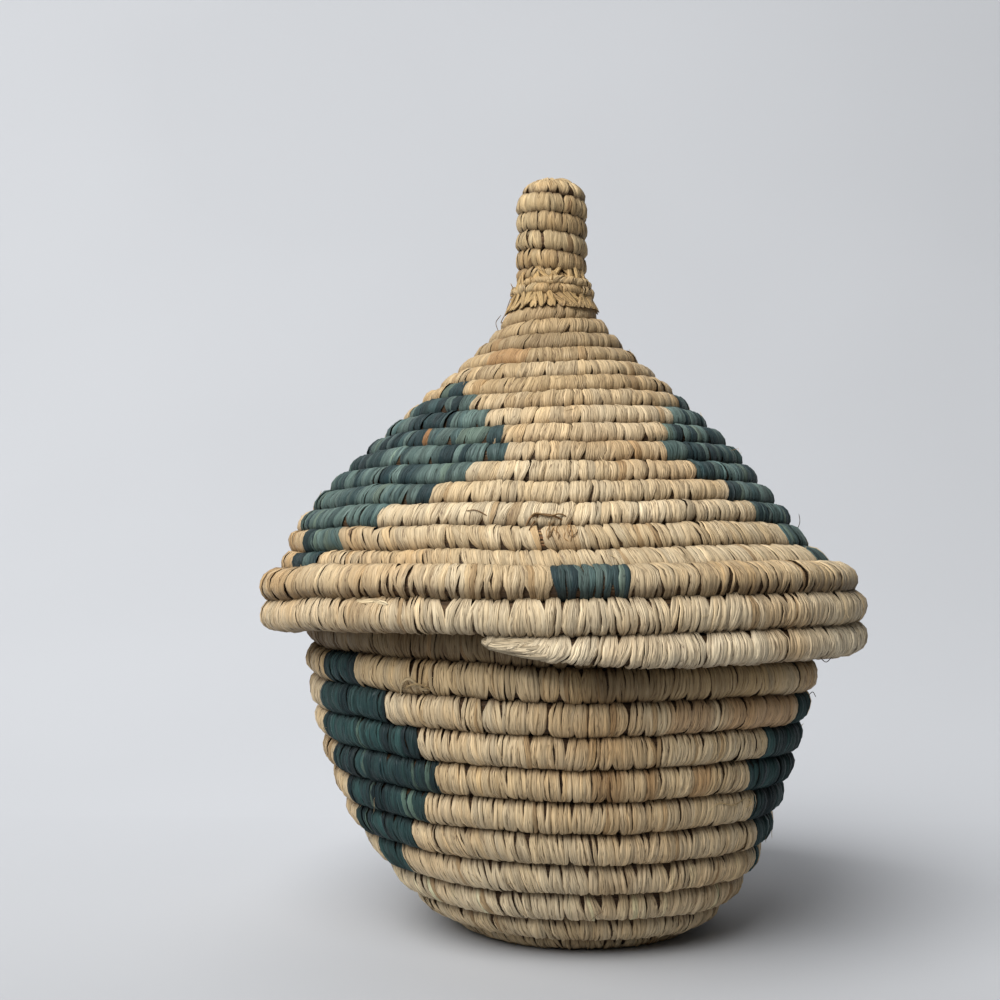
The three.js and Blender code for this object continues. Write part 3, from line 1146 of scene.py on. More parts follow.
def loose_strand(
    path: Array, width: float, colour: Colour, flat: bool, key: float, sides: int = 6
) -> MeshData:
    """A thin loose strand along a path, pointed at both ends.

    Args:
        path: Its points.
        width: Its width at the middle.
        colour: Its display colour.
        flat: Whether it is a flat ribbon rather than a round thread.
        key: A number of its own, for its fibres.
        sides: Sides of its section.

    Returns:
        The mesh data.
    """
    count = len(path)
    ahead = np.gradient(path, axis=0)
    ahead /= np.linalg.norm(ahead, axis=1)[:, None]
    out = path * (1.0, 1.0, 0.0) + (0.0, -1e-3, 0.0)
    out /= np.maximum(np.linalg.norm(out, axis=1), 1e-6)[:, None]
    out = out - (out * ahead).sum(1)[:, None] * ahead
    out /= np.maximum(np.linalg.norm(out, axis=1), 1e-6)[:, None]
    beside = np.cross(ahead, out)
    share = np.linspace(0, 1, count)
    size = np.sqrt(np.clip(1 - (2 * share - 1) ** 6, 0.02, 1)) * width / 2
    theta = np.arange(sides) / sides * FULL_TURN
    deep = 0.3 if flat else 1.0
    cos, sin = np.cos(theta)[None, :, None], np.sin(theta)[None, :, None]
    ring = cos * beside[:, None] + deep * sin * out[:, None]
    points = path[:, None] + size[:, None, None] * ring
    index = np.arange(count * sides).reshape(count, sides)
    after = np.roll(index, -1, axis=1)
    quads = np.stack([index[:-1], after[:-1], after[1:], index[1:]], -1).reshape(-1, 4)
    along = np.concatenate([[0], np.cumsum(np.linalg.norm(np.diff(path, axis=0), axis=1))])
    place = np.broadcast_to(along[:, None], (count, sides))
    reads = (np.cos(theta) * width / 2 + key, place, key)
    strand = np.stack(np.broadcast_arrays(*reads), -1)
    total = count * sides
    return MeshData(
        handmade(points.reshape(-1, 3)),
        quads,
        strand.reshape(-1, 3),
        np.broadcast_to(np.array(linear(colour)), (total, 3)),
        np.full(total, FREE_DEPTH),
    )


def stray_fibres(coil: Coil, count: int, colour: Colour, seed: int) -> list[MeshData]:
    """Fine fibres that have worked loose all over a wall.

    Args:
        coil: The bundle of that wall.
        count: How many.
        colour: Their colour.
        seed: Seed of the random numbers.

    Returns:
        Their meshes.
    """
    rng = np.random.default_rng(seed)
    made = []
    for i in range(count):
        start = rng.uniform(0.05, 0.98) * coil.length
        sizes = coil.sizes_at(np.array(start))
        out = sizes[5] / 2
        run, drift = rng.normal(0, 1.6), rng.uniform(-1, 1) * sizes[4] * 0.5
        lift = rng.uniform(0.15, 0.9)
        along = start + np.array([0.0, 0.35, 0.75, 1.0]) * run
        onward = np.array([-0.3, -0.1, 0.5, 1.0]) * drift
        outward = out + np.array([-0.25, 0.12, 0.5 * lift, lift])
        knots = coil.surface(along, onward, outward)
        path = eased_path(knots, 10)
        made.append(loose_strand(path, rng.uniform(0.05, 0.12), colour, False, 3.0 * i))
    return made


def bundle_mesh(coil: Coil, style: Stitching, share: float, tone: Colour) -> MeshData:
    """The bundle itself, as it shows between the strands.

    Args:
        coil: Its course.
        style: How it is sewn.
        share: Its size as a share of the wrapped size.
        tone: Its colour.

    Returns:
        The mesh data.
    """
    around, step, fibre_girth = 10, 1.2, 2.2
    at = np.arange(0.0, coil.length, step)
    sizes = coil.sizes_at(at)
    theta = np.arange(around) / around * FULL_TURN
    cos, sin = np.cos(theta), np.sin(theta)
    slim = style.slimmed(coil.length - at)[:, None]
    slim = np.where(slim < 1, 0.9 * slim, 1.0)
    onward = BUNDLE_FILL * share * sizes[:, 4:5] / 2 * cos * np.where(cos > 0, slim, 1.0)
    outward = share * sizes[:, 5:6] / 2 * sin * (0.6 + 0.4 * slim)
    place = np.broadcast_to(at[:, None], onward.shape)
    points = handmade(coil.surface(place, onward, outward).reshape(-1, 3))
    index = np.arange(len(at) * around).reshape(len(at), around)
    quads = grid_quads(index.T, coil.course.side).swapaxes(0, 1)
    ends = []
    for ring in (index[0], index[-1][::-1]):
        ring = ring if coil.course.side is Side.RIGHT else ring[::-1]
        ends += [(ring[0], ring[i], ring[i + 1], ring[i + 2]) for i in range(1, around - 2, 2)]
    strand = np.stack(np.broadcast_arrays(theta * fibre_girth, place, 0.0), -1)
    count = len(points)
    return MeshData(
        points,
        np.concatenate([quads.reshape(-1, 4), np.array(ends)]),
        strand.reshape(-1, 3),
        np.broadcast_to(np.array(linear(tone)), (count, 3)),
        np.zeros(count),
    )


# ---- Shader groups and finishes ----


class Nodes:
    """Builds the nodes of one tree."""

    def __init__(self, tree: bpy.types.NodeTree) -> None:
        """Takes a tree and empties it."""
        self.tree = tree
        tree.nodes.clear()

    def add(self, kind: str, **settings: object) -> bpy.types.Node:
        """Adds a node and sets it.

        Args:
            kind: Its type, without the usual prefix.
            **settings: Attributes of the node.

        Returns:
            The node.
        """
        node = self.tree.nodes.new("ShaderNode" + kind)
        for name, value in settings.items():
            setattr(node, name, value)
        return node

    def feed(self, socket: bpy.types.NodeSocket, source: object) -> None:
        """Sets a socket to a value, or links it to another socket.

        Args:
            socket: The socket.
            source: The value, or the socket that it is linked to.
        """
        if isinstance(source, bpy.types.NodeSocket):
            self.tree.links.new(source, socket)
        else:
            socket.default_value = source

    def wire(self, node: bpy.types.Node, sources: dict[str | int, object]) -> bpy.types.Node:
        """Feeds a node's inputs.

        Args:
            node: The node.
            sources: A value or socket for each input, by its name or number.

        Returns:
            The node.
        """
        for label, source in sources.items():
            self.feed(node.inputs[label], source)
        return node

    def math(self, operation: str, first: object, second: object = 0.0) -> bpy.types.NodeSocket:
        """The result of a Math node."""
        return self.wire(self.add("Math", operation=operation), {0: first, 1: second}).outputs[0]

    def blend(
        self, share: object, first: object, second: object, kind: str = "MIX"
    ) -> bpy.types.NodeSocket:
        """The colour between two colours."""
        node = self.add("Mix", data_type="RGBA", blend_type=kind)
        return self.wire(node, {0: share, 6: first, 7: second}).outputs[2]

    def spread(
        self, value: object, low: object, high: object, to_low: object, to_high: object
    ) -> bpy.types.NodeSocket:
        """A value moved from one range to another, and held inside it."""
        sources = dict(enumerate((value, low, high, to_low, to_high)))
        return self.wire(self.add("MapRange"), sources).outputs[0]

    def noise(self, place: object, scale: float, detail: float = 2.0) -> bpy.types.NodeSocket:
        """A noise texture's value."""
        sources = {"Vector": place, "Scale": scale, "Detail": detail}
        return self.wire(self.add("TexNoise"), sources).outputs[0]

    def split(self, vector: object) -> bpy.types.NodeSocket:
        """A vector's three parts."""
        return self.wire(self.add("SeparateXYZ"), {0: vector}).outputs

    def group(self, tree: bpy.types.NodeTree, sources: dict[str, object]) -> bpy.types.Node:
        """A node that holds a shader group, with its inputs fed."""
        return self.wire(self.add("Group", node_tree=tree), sources)

    def surface(self, sources: dict[str, object]) -> None:
        """Adds the shader, feeds it and makes it the material's surface."""
        shader = self.wire(self.add("BsdfPrincipled"), sources)
        self.wire(self.add("OutputMaterial"), {"Surface": shader.outputs[0]})


def new_material(name: str) -> tuple[bpy.types.Material, Nodes]:
    """Makes a material.

    Args:
        name: Its name.

    Returns:
        The material and the builder of its nodes.
    """
    made = bpy.data.materials.new(name)
    made.use_nodes = True
    return made, Nodes(made.node_tree)


def new_group(name: str, inputs: dict[str, str], outputs: dict[str, str]) -> tuple:
    """Makes an empty shader group.

    Args:
        name: Its name.
        inputs: Its inputs' names and socket types.
        outputs: Its outputs' names and socket types.

    Returns:
        Its node builder, input node and output node.
    """
    tree = bpy.data.node_groups.new(name, "ShaderNodeTree")
    for label, kind in inputs.items():
        tree.interface.new_socket(label, in_out="INPUT", socket_type="NodeSocket" + kind)
    for label, kind in outputs.items():
        tree.interface.new_socket(label, in_out="OUTPUT", socket_type="NodeSocket" + kind)
    nodes = Nodes(tree)
    entry = tree.nodes.new("NodeGroupInput")
    leave = tree.nodes.new("NodeGroupOutput")
    return nodes, entry, leave


def fibre_group() -> bpy.types.NodeTree:
    """Fine fibres that run along a strand: a broad tone, creases for painted shade, and a height.

    Returns:
        The group.
    """
    nodes, entry, leave = new_group(
        "split_fibres",
        {"Strand": "Vector", "Fineness": "Float", "Crease Width": "Float"},
        {"Streak": "Float", "Crease": "Float", "Height": "Float"},
    )
    across, along, key = nodes.split(entry.outputs["Strand"])
    across = nodes.math("MULTIPLY", across, entry.outputs["Fineness"])
    along = nodes.math("MULTIPLY", along, 0.05)
    drawn = nodes.wire(nodes.add("CombineXYZ"), {0: across, 1: along, 2: key}).outputs[0]
    fine = nodes.noise(drawn, 3.8, 2.0)
    streak = nodes.spread(nodes.noise(drawn, 1.0, 1.0), 0.36, 0.64, 0.0, 1.0)
    off = nodes.math("ABSOLUTE", nodes.math("SUBTRACT", fine, 0.5))
    line = nodes.spread(off, 0.0, entry.outputs["Crease Width"], 1.0, 0.0)
    ridge = nodes.spread(off, 0.0, 0.13, 0.0, 0.7)
    cut = nodes.spread(nodes.noise(drawn, 1.7, 0.0), 0.36, 0.60, 0.2, 0.9)
    height = nodes.math("ADD", ridge, nodes.math("MULTIPLY", streak, 0.3))
    # The creases lie in the height's valleys; their darkness is painted shade.
    crease = nodes.math("MULTIPLY", line, cut)
    nodes.wire(leave, {"Streak": streak, "Crease": crease, "Height": height})
    return nodes.tree


def stain_and_shade_group() -> bpy.types.NodeTree:
    """Fibre tone, painted shade in creases and grooves, soft stains over the wall, on a colour.

    Returns:
        The group.
    """
    colours = dict.fromkeys(("Colour", "Dirt", "Stain"), "Color")
    masks = ("Groove", "Streak", "Crease", "Streak Depth", "Groove Depth")
    nodes, entry, leave = new_group(
        "groove_dirt_and_stains", colours | dict.fromkeys(masks, "Float"), {"Colour": "Color"}
    )
    given = entry.outputs
    place = nodes.add("TexCoord").outputs["Object"]
    stained = nodes.spread(nodes.noise(place, 42.0, 3.0), 0.50, 0.72, 0.0, 0.6)
    colour = nodes.blend(stained, given["Colour"], given["Stain"], "MULTIPLY")
    darker = nodes.math("SUBTRACT", 1.0, given["Streak"])
    darker = nodes.math("MULTIPLY", darker, given["Streak Depth"])
    # Painted shade in the grooves between rows, patchy.
    patchy = nodes.spread(nodes.noise(place, 260.0, 2.0), 0.3, 0.7, 0.55, 1.0)
    sunk = nodes.math("MULTIPLY", nodes.math("POWER", given["Groove"], 1.3), patchy)
    sunk = nodes.math("MULTIPLY", sunk, given["Groove Depth"])
    # Darkened along the fibre streaks, and with painted shade in creases and grooves.
    for share in (darker, given["Crease"], sunk):
        colour = nodes.blend(share, colour, given["Dirt"])
    nodes.wire(leave, {"Colour": colour})
    return nodes.tree


@dataclass(frozen=True)
class StrandFinish:
    """A finish of dried leaf fibre, natural or dyed."""

    name: str
    # Dark colour of the fibre streaks and of the painted shade.
    dirt: Colour
    stain: Colour
    fineness: float = 1.0
    crease_width: float = 0.042
    streak_depth: float = 0.22
    # How far the grooves' painted shade goes towards that dark colour.
    groove_depth: float = 0.88
    bump: float = 0.75
    bump_distance: float = 0.00022
    rough_low: float = 0.48
    rough_high: float = 0.75
    specular: float = 0.34

    def material(self, groups: "Groups") -> bpy.types.Material:
        """Makes the material.

        Args:
            groups: The shared shader groups.

        Returns:
            The material.
        """
        made, nodes = new_material(self.name)
        strand, tint, groove = (
            nodes.add("Attribute", attribute_name=label) for label in ("strand", "tint", "groove")
        )
        fibres = nodes.group(
            groups.fibres,
            {
                "Strand": strand.outputs["Vector"],
                "Fineness": self.fineness,
                "Crease Width": self.crease_width,
            },
        ).outputs
        stained_and_shaded = nodes.group(
            groups.ageing,
            {
                "Colour": tint.outputs["Color"],
                "Groove": groove.outputs["Fac"],
                "Streak": fibres["Streak"],
                "Crease": fibres["Crease"],
                "Dirt": (*linear(self.dirt), 1.0),
                "Stain": (*linear(self.stain), 1.0),
                "Streak Depth": self.streak_depth,
                "Groove Depth": self.groove_depth,
            },
        )
        relief = {
            "Strength": self.bump,
            "Distance": self.bump_distance,
            "Height": fibres["Height"],
        }
        rough = nodes.spread(fibres["Streak"], 0.0, 1.0, self.rough_high, self.rough_low)
        nodes.surface(
            {
                "Base Color": stained_and_shaded.outputs["Colour"],
                "Roughness": rough,
                "Specular IOR Level": self.specular,
                "Normal": nodes.wire(nodes.add("Bump"), relief).outputs[0],
            }
        )
        return made


@dataclass(frozen=True)
class PaperFinish:
    """The pale paper of the backdrop."""

    name: str
    colour: Colour
    roughness: float
    cloud_shade: float = 0.94  # how bright its duller patches are
    front_shade: float = 0.5  # painted shade: how much darker the sheet is in front of the basket
    front_colour: Colour = (0.1, 0.1, 0.1)

    def material(self) -> bpy.types.Material:
        """Makes the material: faintly uneven, and darker towards the front as painted shade.

        Returns:
            The material.
        """
        made, nodes = new_material(self.name)
        place = nodes.add("TexCoord").outputs["Object"]
        base = linear(self.colour)
        dull = tuple(self.cloud_shade * c for c in base)
        cloud = nodes.spread(nodes.noise(place, 3.0, 2.0), 0.35, 0.65, 0.0, 1.0)
        colour = nodes.blend(cloud, (*base, 1.0), (*dull, 1.0))
        # Painted shade: the sheet darkens towards the front.
        front = nodes.spread(nodes.split(place)[1], -0.25, 0.10, self.front_shade, 0.0)
        colour = nodes.blend(front, colour, (*self.front_colour, 1.0))
        nodes.surface({"Base Color": colour, "Roughness": self.roughness})
        return made


@dataclass
class Groups:
    """The shader groups that the finishes share."""

    fibres: bpy.types.NodeTree = field(default_factory=fibre_group)
    ageing: bpy.types.NodeTree = field(default_factory=stain_and_shade_group)


@dataclass
class Palette:
    """The materials of the basket."""

    natural: bpy.types.Material
    khaki: bpy.types.Material
    green: bpy.types.Material
    bundle: bpy.types.Material


def make_palette() -> Palette:
    """Makes the basket's materials.

    Returns:
        The materials.
    """
    groups = Groups()
    brown, tan = (0.31, 0.215, 0.12), (0.86, 0.74, 0.56)
    return Palette(
        natural=StrandFinish("natural_raffia", brown, tan).material(groups),
        khaki=StrandFinish("browned_raffia", (0.28, 0.19, 0.11), tan).material(groups),
        green=StrandFinish(
            "green_raffia", (0.05, 0.085, 0.085), (0.72, 0.78, 0.76), streak_depth=0.35
        ).material(groups),
        bundle=StrandFinish(
            "grass_bundle", (0.09, 0.055, 0.035), (0.8, 0.7, 0.6), crease_width=0.06, bump=1.0
        ).material(groups),
    )


@dataclass(frozen=True)
class Home:
    """Where a piece belongs: its body, its material slot and the CAD nodes that it stands for."""

    body: Body
    slot: Slot
    nodes: tuple[str, ...] = ()

    def settle(self, piece: bpy.types.Object) -> None:
        """Makes a piece ride on the body, hides the CAD parts of its nodes, and reports it.

        Args:
            piece: The piece.
        """
        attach(piece, self.body.value)
        if self.nodes:
            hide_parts(*self.nodes)
        LOG.info("%s: %d faces on %s", piece.name, len(piece.data.polygons), self.body.value)


# ---- Pattern ----


@dataclass(frozen=True)
class Diamond:
    """A green diamond: a centre angle, and how far it spreads either way in each row."""

    centre: float
    before: tuple[float, ...]  # degrees to the left of the centre, row by row
    after: tuple[float, ...]  # and to the right


@dataclass
class Pattern:
    """Which stretches of a bundle are sewn with green strands."""

    coil: Coil
    first_row_angle: float  # unwound angle at the front of the pattern's first row
    row_step: float  # unwound angle from one row to the next, -360 up the path or 360 down it
    diamonds: tuple[Diamond, ...]

    def is_green(self, place: Array) -> NDArray[np.bool_]:
        """Whether the bundle is green at each place along it.

        Args:
            place: Lengths along the bundle.

        Returns:
            True where it is green.
        """
        angle = np.degrees(self.coil.angle_at(place))
        green = np.zeros(len(place), bool)
        for diamond in self.diamonds:
            turns = (angle - diamond.centre - self.first_row_angle) / self.row_step
            row = np.rint(turns).astype(int)
            off = angle - (self.first_row_angle + row * self.row_step + diamond.centre)
            inside = (row >= 0) & (row < len(diamond.before))
            safe = np.clip(row, 0, len(diamond.before) - 1)
            before = np.array(diamond.before)[safe]
            after = np.array(diamond.after)[safe]
            green |= inside & (off > -before) & (off < after)
        return green


# ---- What the bowl and the lid share ----


@dataclass(frozen=True)
class Stain:
    """A place in the photograph where strands are stained, or worn away if it has no colour."""

    pixel: tuple[float, float]
    half_width: float
    colour: Colour | None = None
    strength: float = 0.7
    onward: float = 0.0  # from the place under the pixel, along the bundle

    def mark(self, wall: Wall) -> Mark:
        """The stretch of the bundle that it marks."""
        length = wall.under(*self.pixel)[0] + self.onward
        return Mark(length, self.half_width, self.colour, self.strength)


@dataclass
class SewnWall:
    """One bundle and its sewing, as the bowl and the lid both are."""

    stitching: Stitching
    whiskers: tuple[Whisker, ...]
    stains: tuple[Stain, ...]
    bundle_colour: Colour
    bundle_share: float = 0.87  # of the wrapped size
    stray_count: int = 60
    steps: int = 24  # sections in one turn
    start_share: float = 0.45  # of a row's size, at the bundle's start

    NAME: ClassVar[str]
    NODE: ClassVar[str]
    BODY: ClassVar[Body]
    SLOT: ClassVar[Slot]
    TONES: ClassVar[Tones]
    GREEN: ClassVar[Tones]
    SEED: ClassVar[int]
    STRAY_SEED: ClassVar[int]

    def lay(self) -> Coil:
        """Lays the bundle."""
        raise NotImplementedError

    def pattern(self, coil: Coil) -> Pattern:
        """The green pattern on the bundle."""
        raise NotImplementedError

    def tone(self, coil: Coil, place: Array, rng: np.random.Generator) -> Array:
        """How far from pale to deep the strands are at each place along the bundle."""
        raise NotImplementedError

    def marks(self, wall: Wall) -> tuple[Mark, ...]:
        """The stained and worn stretches."""
        return tuple(stain.mark(wall) for stain in self.stains)

    def loose(self, wall: Wall) -> list[MeshData]:
        """The loose strands that can be seen in the photograph."""
        return [whisker.mesh(wall, 9.0 * i) for i, whisker in enumerate(self.whiskers)]

    def build(self, palette: Palette, view: View) -> None:
        """Builds and dresses the wall.

        Args:
            palette: The materials.
            view: The photograph's view.
        """
        coil = self.lay()
        wall = Wall(coil, view)
        pattern = self.pattern(coil)

        def dye(place: Array, rng: np.random.Generator) -> tuple[Array, NDArray[np.bool_]]:
            """The strands' tone, and whether each is green."""
            return self.tone(coil, place, rng), pattern.is_green(place)

        sewing = Sewing(coil, self.stitching, dye, self.SEED, self.marks(wall))
        plain, green = (self.TONES, palette.natural), (self.GREEN, palette.green)
        sewing.dress(self.NAME, plain, green, Home(self.BODY, self.SLOT, (self.NODE,)))
        bundle = bundle_mesh(coil, self.stitching, self.bundle_share, self.bundle_colour)
        piece = build_mesh(self.NAME + "_bundle", bundle, palette.bundle)
        Home(self.BODY, Slot.CORE, (self.NODE,)).settle(piece)
        loose = self.loose(wall)
        loose += stray_fibres(coil, self.stray_count, PALE_FIBRE, self.STRAY_SEED)
        piece = build_mesh(self.NAME + "_loose_fibres", joined(loose), palette.natural)
        Home(self.BODY, self.SLOT).settle(piece)


# ---- The bowl ----


@dataclass
class Bowl(SewnWall):
    """The bowl: its bundle, from the middle of the base to the mouth, and its sewing."""

    NAME = "bowl"
    NODE = "bowl_coil"
    BODY = Body.BASKET
    SLOT = Slot.BOWL
    TONES = BOWL_NATURAL
    GREEN = DEEP_GREEN
    SEED = 11
    STRAY_SEED = 51

    mouth_radius: float = 44.4
    height: float = 62.9
    upright_from: float = 44.0
    lean_in: float = 5.5
    lean_drop: float = 27.0
    base_radius: float = 14.0
    heel_sweep: float = 14.0
    base_shift: float = 3.2
    base_shift_below: float = 22.0
    ground_cut: float = 0.5
    row_height: float = 4.68
    heel_row_height: float = 5.7
    heel_rows_to: float = 28.0
    wall_rows_from: float = 56.0
    row_thickness: float = 4.9
    start_hole: float = 0.4
    start_angle: float = math.radians(-15)
    tail_angle: float = math.radians(75)
    first_row_height: float = 45.2  # of the pattern's top row, at the front
    mouth_grime: float = 1.65  # strength of the painted shade under the lid's rim
    rim_low: float = 47.9  # height of the closed lid's rim beside its tail
    rim_rise: float = 4.6  # how much higher it is after one turn
    rim_tip: float = -13.0  # angle of the tail's tip
    bundle_colour: Colour = (0.33, 0.24, 0.15)
    stitching: Stitching = Stitching(
        stitch_start=2.4,
        stitch_end=2.8,
        pinch=0.7,
        far_pinch=0.78,
        dive=0.45,
        crown=0.12,
        edge_dark=1.3,
    )
    stains: tuple[Stain, ...] = (
        Stain((606, 787), 2.6, (0.58, 0.44, 0.28), 0.5),
        Stain((700, 780), 2.0, (0.74, 0.56, 0.36), 0.5),
        Stain((692, 708), 4.5, (0.72, 0.56, 0.40), 0.5),
        Stain((650, 790), 1.0, (0.62, 0.47, 0.30), 0.5),
        Stain((765, 706), 11.0, (0.76, 0.57, 0.39), 0.5),
    )
    whiskers: tuple[Whisker, ...] = (
        Whisker(
            ((401, 694, 0.2), (404, 683, 0.5), (413, 679, 0.6), (424, 687, 0.5), (431, 690, 0.1)),
            0.5,
            PALE_FIBRE,
            True,
        ),
        Whisker(
            ((403, 690, 0.2), (410, 685, 0.4), (420, 684, 0.6), (433, 694, 0.2)),
            0.3,
            (0.72, 0.62, 0.45),
        ),
        Whisker(
            ((705, 808, 0.1), (716, 800, 0.4), (730, 801, 0.5), (743, 793, 0.2)),
            0.2,
            (0.84, 0.75, 0.57),
        ),
        Whisker(((740, 789, 0.1), (745, 797, 0.6), (741, 804, 0.3)), 0.22, (0.80, 0.70, 0.52)),
        Whisker(((454, 828, 0.1), (455, 834, 0.3), (461, 834, 0.1)), 0.2, (0.45, 0.35, 0.23)),
        Whisker(
            ((806, 693, 0.1),), 0.14, (0.16, 0.13, 0.10), False, ((0.5, 0.9, 0.7), (0.9, 0.1, 1.5))
        ),
    )

    def _row(self, length: float, turn: float) -> Row:
        """A row's size: lower on the upright wall than on the heel.

        Args:
            length: Its place along the outline.
            turn: Number of turns since the bundle's start.

        Returns:
            Its size.
        """
        share = lerp(self.start_share, 1.0, min(turn, 1.0))
        on_wall = progress(length, self.heel_rows_to, self.wall_rows_from)
        height = lerp(self.heel_row_height, self.row_height, on_wall)
        return Row(share * height, share * self.row_thickness)

    def _shift(self, height: Array) -> Array:
        """Sideways place of the axis at a height."""
        return self.base_shift * (1 - np.clip(height / self.base_shift_below, 0, 1))

    def lay(self) -> Coil:
        """Lays the bowl's bundle.

        Returns:
            The bundle's course.
        """
        low = -self.ground_cut
        wall = curve_between(
            np.array([self.base_radius, low]),
            np.array([self.base_radius + self.heel_sweep, low]),
            np.array([self.mouth_radius - self.lean_in, self.upright_from - self.lean_drop]),
            np.array([self.mouth_radius, self.upright_from]),
        )
        top = (self.mouth_radius, self.height - self.row_height / 2)
        outside = Outline(np.concatenate([[(0.0, low)], wall, [top]])).evenly(OUTLINE_POINTS)
        middle = set_in(outside, np.full(len(outside), self.row_thickness / 2))
        return Coil(
            Course(
                Outline(middle),
                self._shift,
                self._row,
                self.start_angle,
                self.start_hole + self.start_share * self.heel_row_height / 2,
                self.steps,
                self.tail_angle,
                Side.RIGHT,
            )
        )

    def pattern(self, coil: Coil) -> Pattern:
        """The bowl's three diamonds.

        Args:
            coil: The bowl's bundle.

        Returns:
            The pattern.
        """
        profile = (6.0, 12.0, 19.0, 25.0, 20.0, 14.0, 6.0)
        left_before = (7.5, 12.0, 15.0, 14.5, 10.5, 9.5, 9.0)
        right_before = (-14.0, 5.5, 17.3, 20.5, 14.5, 7.5, -1.0)
        diamonds = (
            Diamond(-53.0, left_before, (6.5, 14.5, 22.5, 25.5, 21.0, 14.0, 4.0)),
            Diamond(67.5, right_before, (2.0, 12.0, 19.0, 25.0, 20.0, 14.0, 6.0)),
            Diamond(187.5, profile, profile),
        )
        step = -360.0
        turns = range(1, int(-math.degrees(coil.angle[-1]) / 360) + 1)
        heights = [
            float(coil.sizes_at(np.array(coil.length_at_angle(math.radians(step * t))))[1])
            for t in turns
        ]
        best = int(np.argmin([abs(h - self.first_row_height) for h in heights]))
        return Pattern(coil, step * turns[best], -step, diamonds)

    def tone(self, coil: Coil, place: Array, rng: np.random.Generator) -> Array:
        """How deep the strands' tone is: paler low down, painted shade under the lid's rim.

        Args:
            coil: The bowl's bundle.
            place: The strands' places along it.
            rng: Source of the random numbers.

        Returns:
            The tones, 0 for pale and 1 for deep.
        """
        tone = 0.36 + 0.26 * wander(place, 150.0, rng) + 0.2 * wander(place, 40.0, rng)
        tone += 0.12 * wander(place, 9.0, rng)
        height = coil.sizes_at(place)[:, 1]
        tone -= 0.35 * (1 - smooth(height, 12.0, 28.0))
        # Painted shade just under the closed lid's rim, which climbs a row from its tail's tip.
        around = (np.degrees(coil.angle_at(place)) - self.rim_tip) % 360
        turned = np.maximum(around / 360, 1 - smooth(around, 3.0, 24.0))
        rim = self.rim_low + self.rim_rise * turned
        return tone + self.mouth_grime * smooth(height - rim, -5.2, -2.2)


# ---- The lid ----


